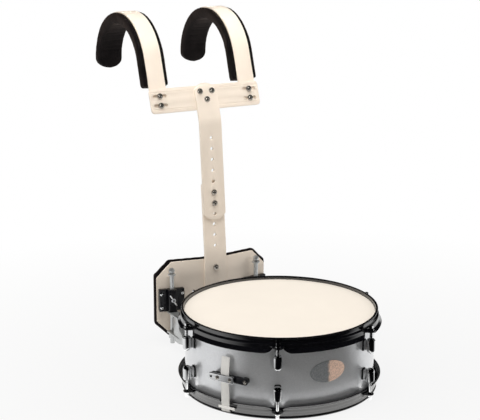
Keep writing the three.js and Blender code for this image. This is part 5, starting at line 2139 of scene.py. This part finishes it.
def wing_screw():
    """Wing screw, whose tip stops short of the rod in the boss."""
    low = boss_front - gap - collar_height
    stem = turned(round_bar(stem_radius, low, -rod_across - screw_reach), 24)
    ring = lathed(round_bar(collar_radius, low, low + collar_height), wing_ring_edge, 36)
    end = wing_half_length
    profile = [(0, -end), (wing_radius, -end), (wing_waist, 0), (wing_radius, end), (0, end)]
    wing = lathed(profile, wing_edge)
    aim = shift(0, low + collar_height / 2, 0) @ Matrix.Rotation(wing_turn, 4, "Y") @ spin(90, "Y")
    return joined(moved(joined(stem, ring), spin(-90, "X")), moved(wing, aim))


def j_rod():
    """Hanging rod on its axis, with its collar, its ball and the nut below the hanger's tab."""
    collar_foot = j_rod_top - j_rod_collar
    profile = [
        (0, j_rod_bottom),
        (j_rod_radius, j_rod_bottom),
        (j_rod_radius, collar_foot),
        (j_rod_collar_radius, collar_foot),
        (j_rod_collar_radius, j_rod_top),
        (ball_seat, j_rod_top),
        (0, j_rod_top),
    ]
    turns = np.linspace(-ball_turn, ball_turn, 15)
    ball = [(ball_radius * math.cos(t), ball_radius * math.sin(t)) for t in turns]
    ball = turned([(0, -ball_radius), *ball, (0, ball_radius)], 40)
    nut_foot = -tab_drop - hanger_sheet - gap - rod_nut[1]
    return joined(
        lathed(profile, j_rod_edge, 40),
        moved(ball, shift(0, 0, j_rod_top + ball_rise)),
        laid_flat(hex_nut(*rod_nut), nut_foot),
    )


def hanger():
    """Sheet hanger of one rod: two forked sides, a web between them and two bored tabs."""
    parts = []
    for side in (-1, 1):
        cheek = plate([fork_outline()], hanger_sheet, sheet_edge)
        parts.append(on_edge(cheek, side * web_half - hanger_sheet / 2))
    web = box_outline(-web_half, web_half, -web_bottom, block_bottom - gap, web_corner)
    parts.append(moved(plate([web], hanger_sheet, fine_edge), shift(0, web_front, 0)))
    outline = box_outline(-tab_half, tab_half, web_front, j_rod_y + tab_reach, tab_corner)
    for foot in (block_bottom - gap, -tab_drop):
        tab = plate([outline, hole(0, j_rod_y, j_rod_radius + bore_clearance, 32)], hanger_sheet)
        parts.append(laid_flat(tab, foot - hanger_sheet))
    return joined(*parts)


class BuildMounts(bpy.types.Operator):
    """Builds the clamp blocks, J rods, wing screws and hangers"""

    bl_idname = "snare.mounts"
    bl_label = "Clamp blocks, J rods and hangers"

    def execute(self, context):
        bright, zinc = finish(context, "chrome"), finish(context, "zinc")
        for side, word in ((-1, "right"), (1, "left")):
            wing = shift(side * plate_flat, plate_y, 0) @ spin(side * wing_lean)
            block = wing @ shift(side * rod_along, 0, 0)
            solid, node = moved(clamp_block(), block), f"{word}_clamp_block"
            finished(f"{word}_rod_clamp", solid, finish(context, "casting"), [node])
            places = [
                (x * block_screw_x, -block_thickness, block_middle + z * block_screw_z)
                for x in (-1, 1)
                for z in (-1, 1)
            ]
            name = f"{word}_clamp_screws"
            fixings(name, hex_head(*block_screw), bright, places, block, body="carrier")
            solid = moved(wing_screw(), block @ shift(0, 0, screw_z))
            finished(f"{word}_wing_key", solid, bright, [f"{word}_wing_screw"])
            solid = moved(j_rod(), shift(side * j_rod_x, j_rod_y, 0))
            finished(f"{word}_carrier_j_rod", solid, zinc, [f"{word}_j_rod"])
            solid = moved(hanger(), shift(side * j_rod_x, 0, 0))
            finished(f"{word}_lug_hanger", solid, zinc, [f"{word}_hanger"])
        return {"FINISHED"}


def stage_ring(name, profile, base, first, last, material):
    """A surface of revolution in metres, over a span of azimuths, from (radius, height) points."""
    sides = 96
    whole = last - first >= 360
    bm = bmesh.new()
    rings = []
    for reach, rise in profile:
        if reach == 0:
            rings.append([bm.verts.new((0, 0, rise + base))])
            continue
        turns = [math.radians(first + (last - first) * k / sides) for k in range(sides + (not whole))]
        ring = [(reach * math.sin(t), -reach * math.cos(t), rise + base) for t in turns]
        rings.append([bm.verts.new(point) for point in ring])
    for one, other in zip(rings, rings[1:]):
        bridge(bm, one, other, whole)
    bmesh.ops.recalc_face_normals(bm, faces=bm.faces[:])
    mesh = bpy.data.meshes.new(name)
    bm.to_mesh(mesh)
    bm.free()
    mesh.materials.append(material)
    return placed(name, mesh)


class BuildStage(bpy.types.Operator):
    """Sets the floor, the soft lights and the camera"""

    bl_idname = "snare.stage"
    bl_label = "Stage"

    def execute(self, context):
        scene = context.scene
        scene.view_settings.view_transform = "Standard"
        floor_z = (-head_span - lip_rise) * METRE
        rings = [(reach, 0) for reach in floor_rings]
        stage_ring("studio_floor", rings, floor_z, 0, 360, studio_paper())
        # Things that only mirrors see: a white card round the drum's foot, which glows and paints a bright
        # reflection in the black gloss, a black flag overhead, and one on the floor before the drum
        turns = np.linspace(math.radians(0.1), math.pi / 2, dome_steps)
        dome = [(dome_reach * math.cos(t), dome_reach * math.sin(t)) for t in turns]
        dome[-1] = (0, dome_reach)
        card = [(reach, 0) for reach in card_rings]
        rings = [(reach, 0) for reach in flag_rings]
        cloth = flag_cloth(*flag_start, flag_sides)
        flags = (
            stage_ring("foot_card", card, floor_z + card_lift, 0, 360, glowing_reflection_card()),
            stage_ring("overhead_flag", dome, floor_z, 0, 360, flag_cloth()),
            stage_ring("floor_flag", rings, floor_z + flag_lift, *flag_azimuths, cloth),
        )
        for flag in flags:
            flag.visible_camera = False
            flag.visible_diffuse = False
            flag.visible_transmission = False
            flag.visible_shadow = False

        for name, place, target, size, power, spread in lamps:
            light = bpy.data.lights.new(name, "AREA")
            light.shape = "SQUARE"
            light.size = size
            light.energy = power
            light.spread = math.radians(spread)
            light.color = lamp_tint
            lamp = placed(name, light)
            lamp.location = place
            lamp.visible_camera = False
            # Only the narrow lamp on the carrier's head shows in mirrors
            lamp.visible_glossy = name == "carrier_softbox"
            lamp.rotation_euler = (Vector(target) - Vector(place)).to_track_quat("-Z", "Y").to_euler()

        world = bpy.data.worlds.new("Studio")
        scene.world = world
        world.use_nodes = True
        tree = world.node_tree
        tree.nodes.clear()
        soft = add(tree, "ShaderNodeBackground", {"Color": world_tint, "Strength": world_strength})
        white = add(tree, "ShaderNodeBackground", {"Color": (1, 1, 1, 1), "Strength": 1.0})
        links = {0: plain_sight(tree), 1: soft.outputs["Background"], 2: white.outputs["Background"]}
        both = add(tree, "ShaderNodeMixShader", links=links)
        add(tree, "ShaderNodeOutputWorld", links={"Surface": both.outputs["Shader"]})

        data = bpy.data.cameras.new("Camera")
        data.lens = camera_lens
        data.sensor_width = camera_sensor
        data.clip_start, data.clip_end = camera_clip
        camera = placed("Camera", data)
        right = Vector(camera_right).normalized()
        back = Vector(camera_back).normalized()
        right = (right - back * right.dot(back)).normalized()
        facing = Matrix((right, back.cross(right), back)).transposed().to_4x4()
        camera.matrix_world = Matrix.Translation(camera_place) @ facing
        scene.camera = camera
        return {"FINISHED"}


STEPS = (
    BuildStage,
    BuildShell,
    BuildHeads,
    BuildHoops,
    BuildLugs,
    BuildRods,
    BuildBadge,
    BuildSnares,
    BuildButt,
    BuildStrainer,
    BuildBellyPlate,
    BuildUprights,
    BuildShoulders,
    BuildMounts,
)


class SnarePanel(bpy.types.Panel):
    """Lists the steps that build the drum, with its colours and sizes"""

    bl_idname = "VIEW3D_PT_snare"
    bl_label = "Marching snare drum"
    bl_space_type = "VIEW_3D"
    bl_region_type = "UI"
    bl_category = "Snare"

    def draw(self, context):
        sizes, colours = choices(context)
        for step in STEPS:
            self.layout.operator(step.bl_idname)
        for group in (colours, sizes):
            column = self.layout.column(align=True)
            for name in group.__annotations__:
                column.prop(group, name)


CLASSES = (SnareColours, SnareSizes, *STEPS, SnarePanel)


def register():
    for kind in CLASSES:
        bpy.utils.register_class(kind)
    bpy.types.Scene.snare_colours = bpy.props.PointerProperty(type=SnareColours)
    bpy.types.Scene.snare_sizes = bpy.props.PointerProperty(type=SnareSizes)


def unregister():
    del bpy.types.Scene.snare_sizes
    del bpy.types.Scene.snare_colours
    for kind in reversed(CLASSES):
        bpy.utils.unregister_class(kind)


def main():
    register()
    for step in STEPS:
        family, name = step.bl_idname.split(".")
        getattr(getattr(bpy.ops, family), name)()


if __name__ == "__main__":
    main()
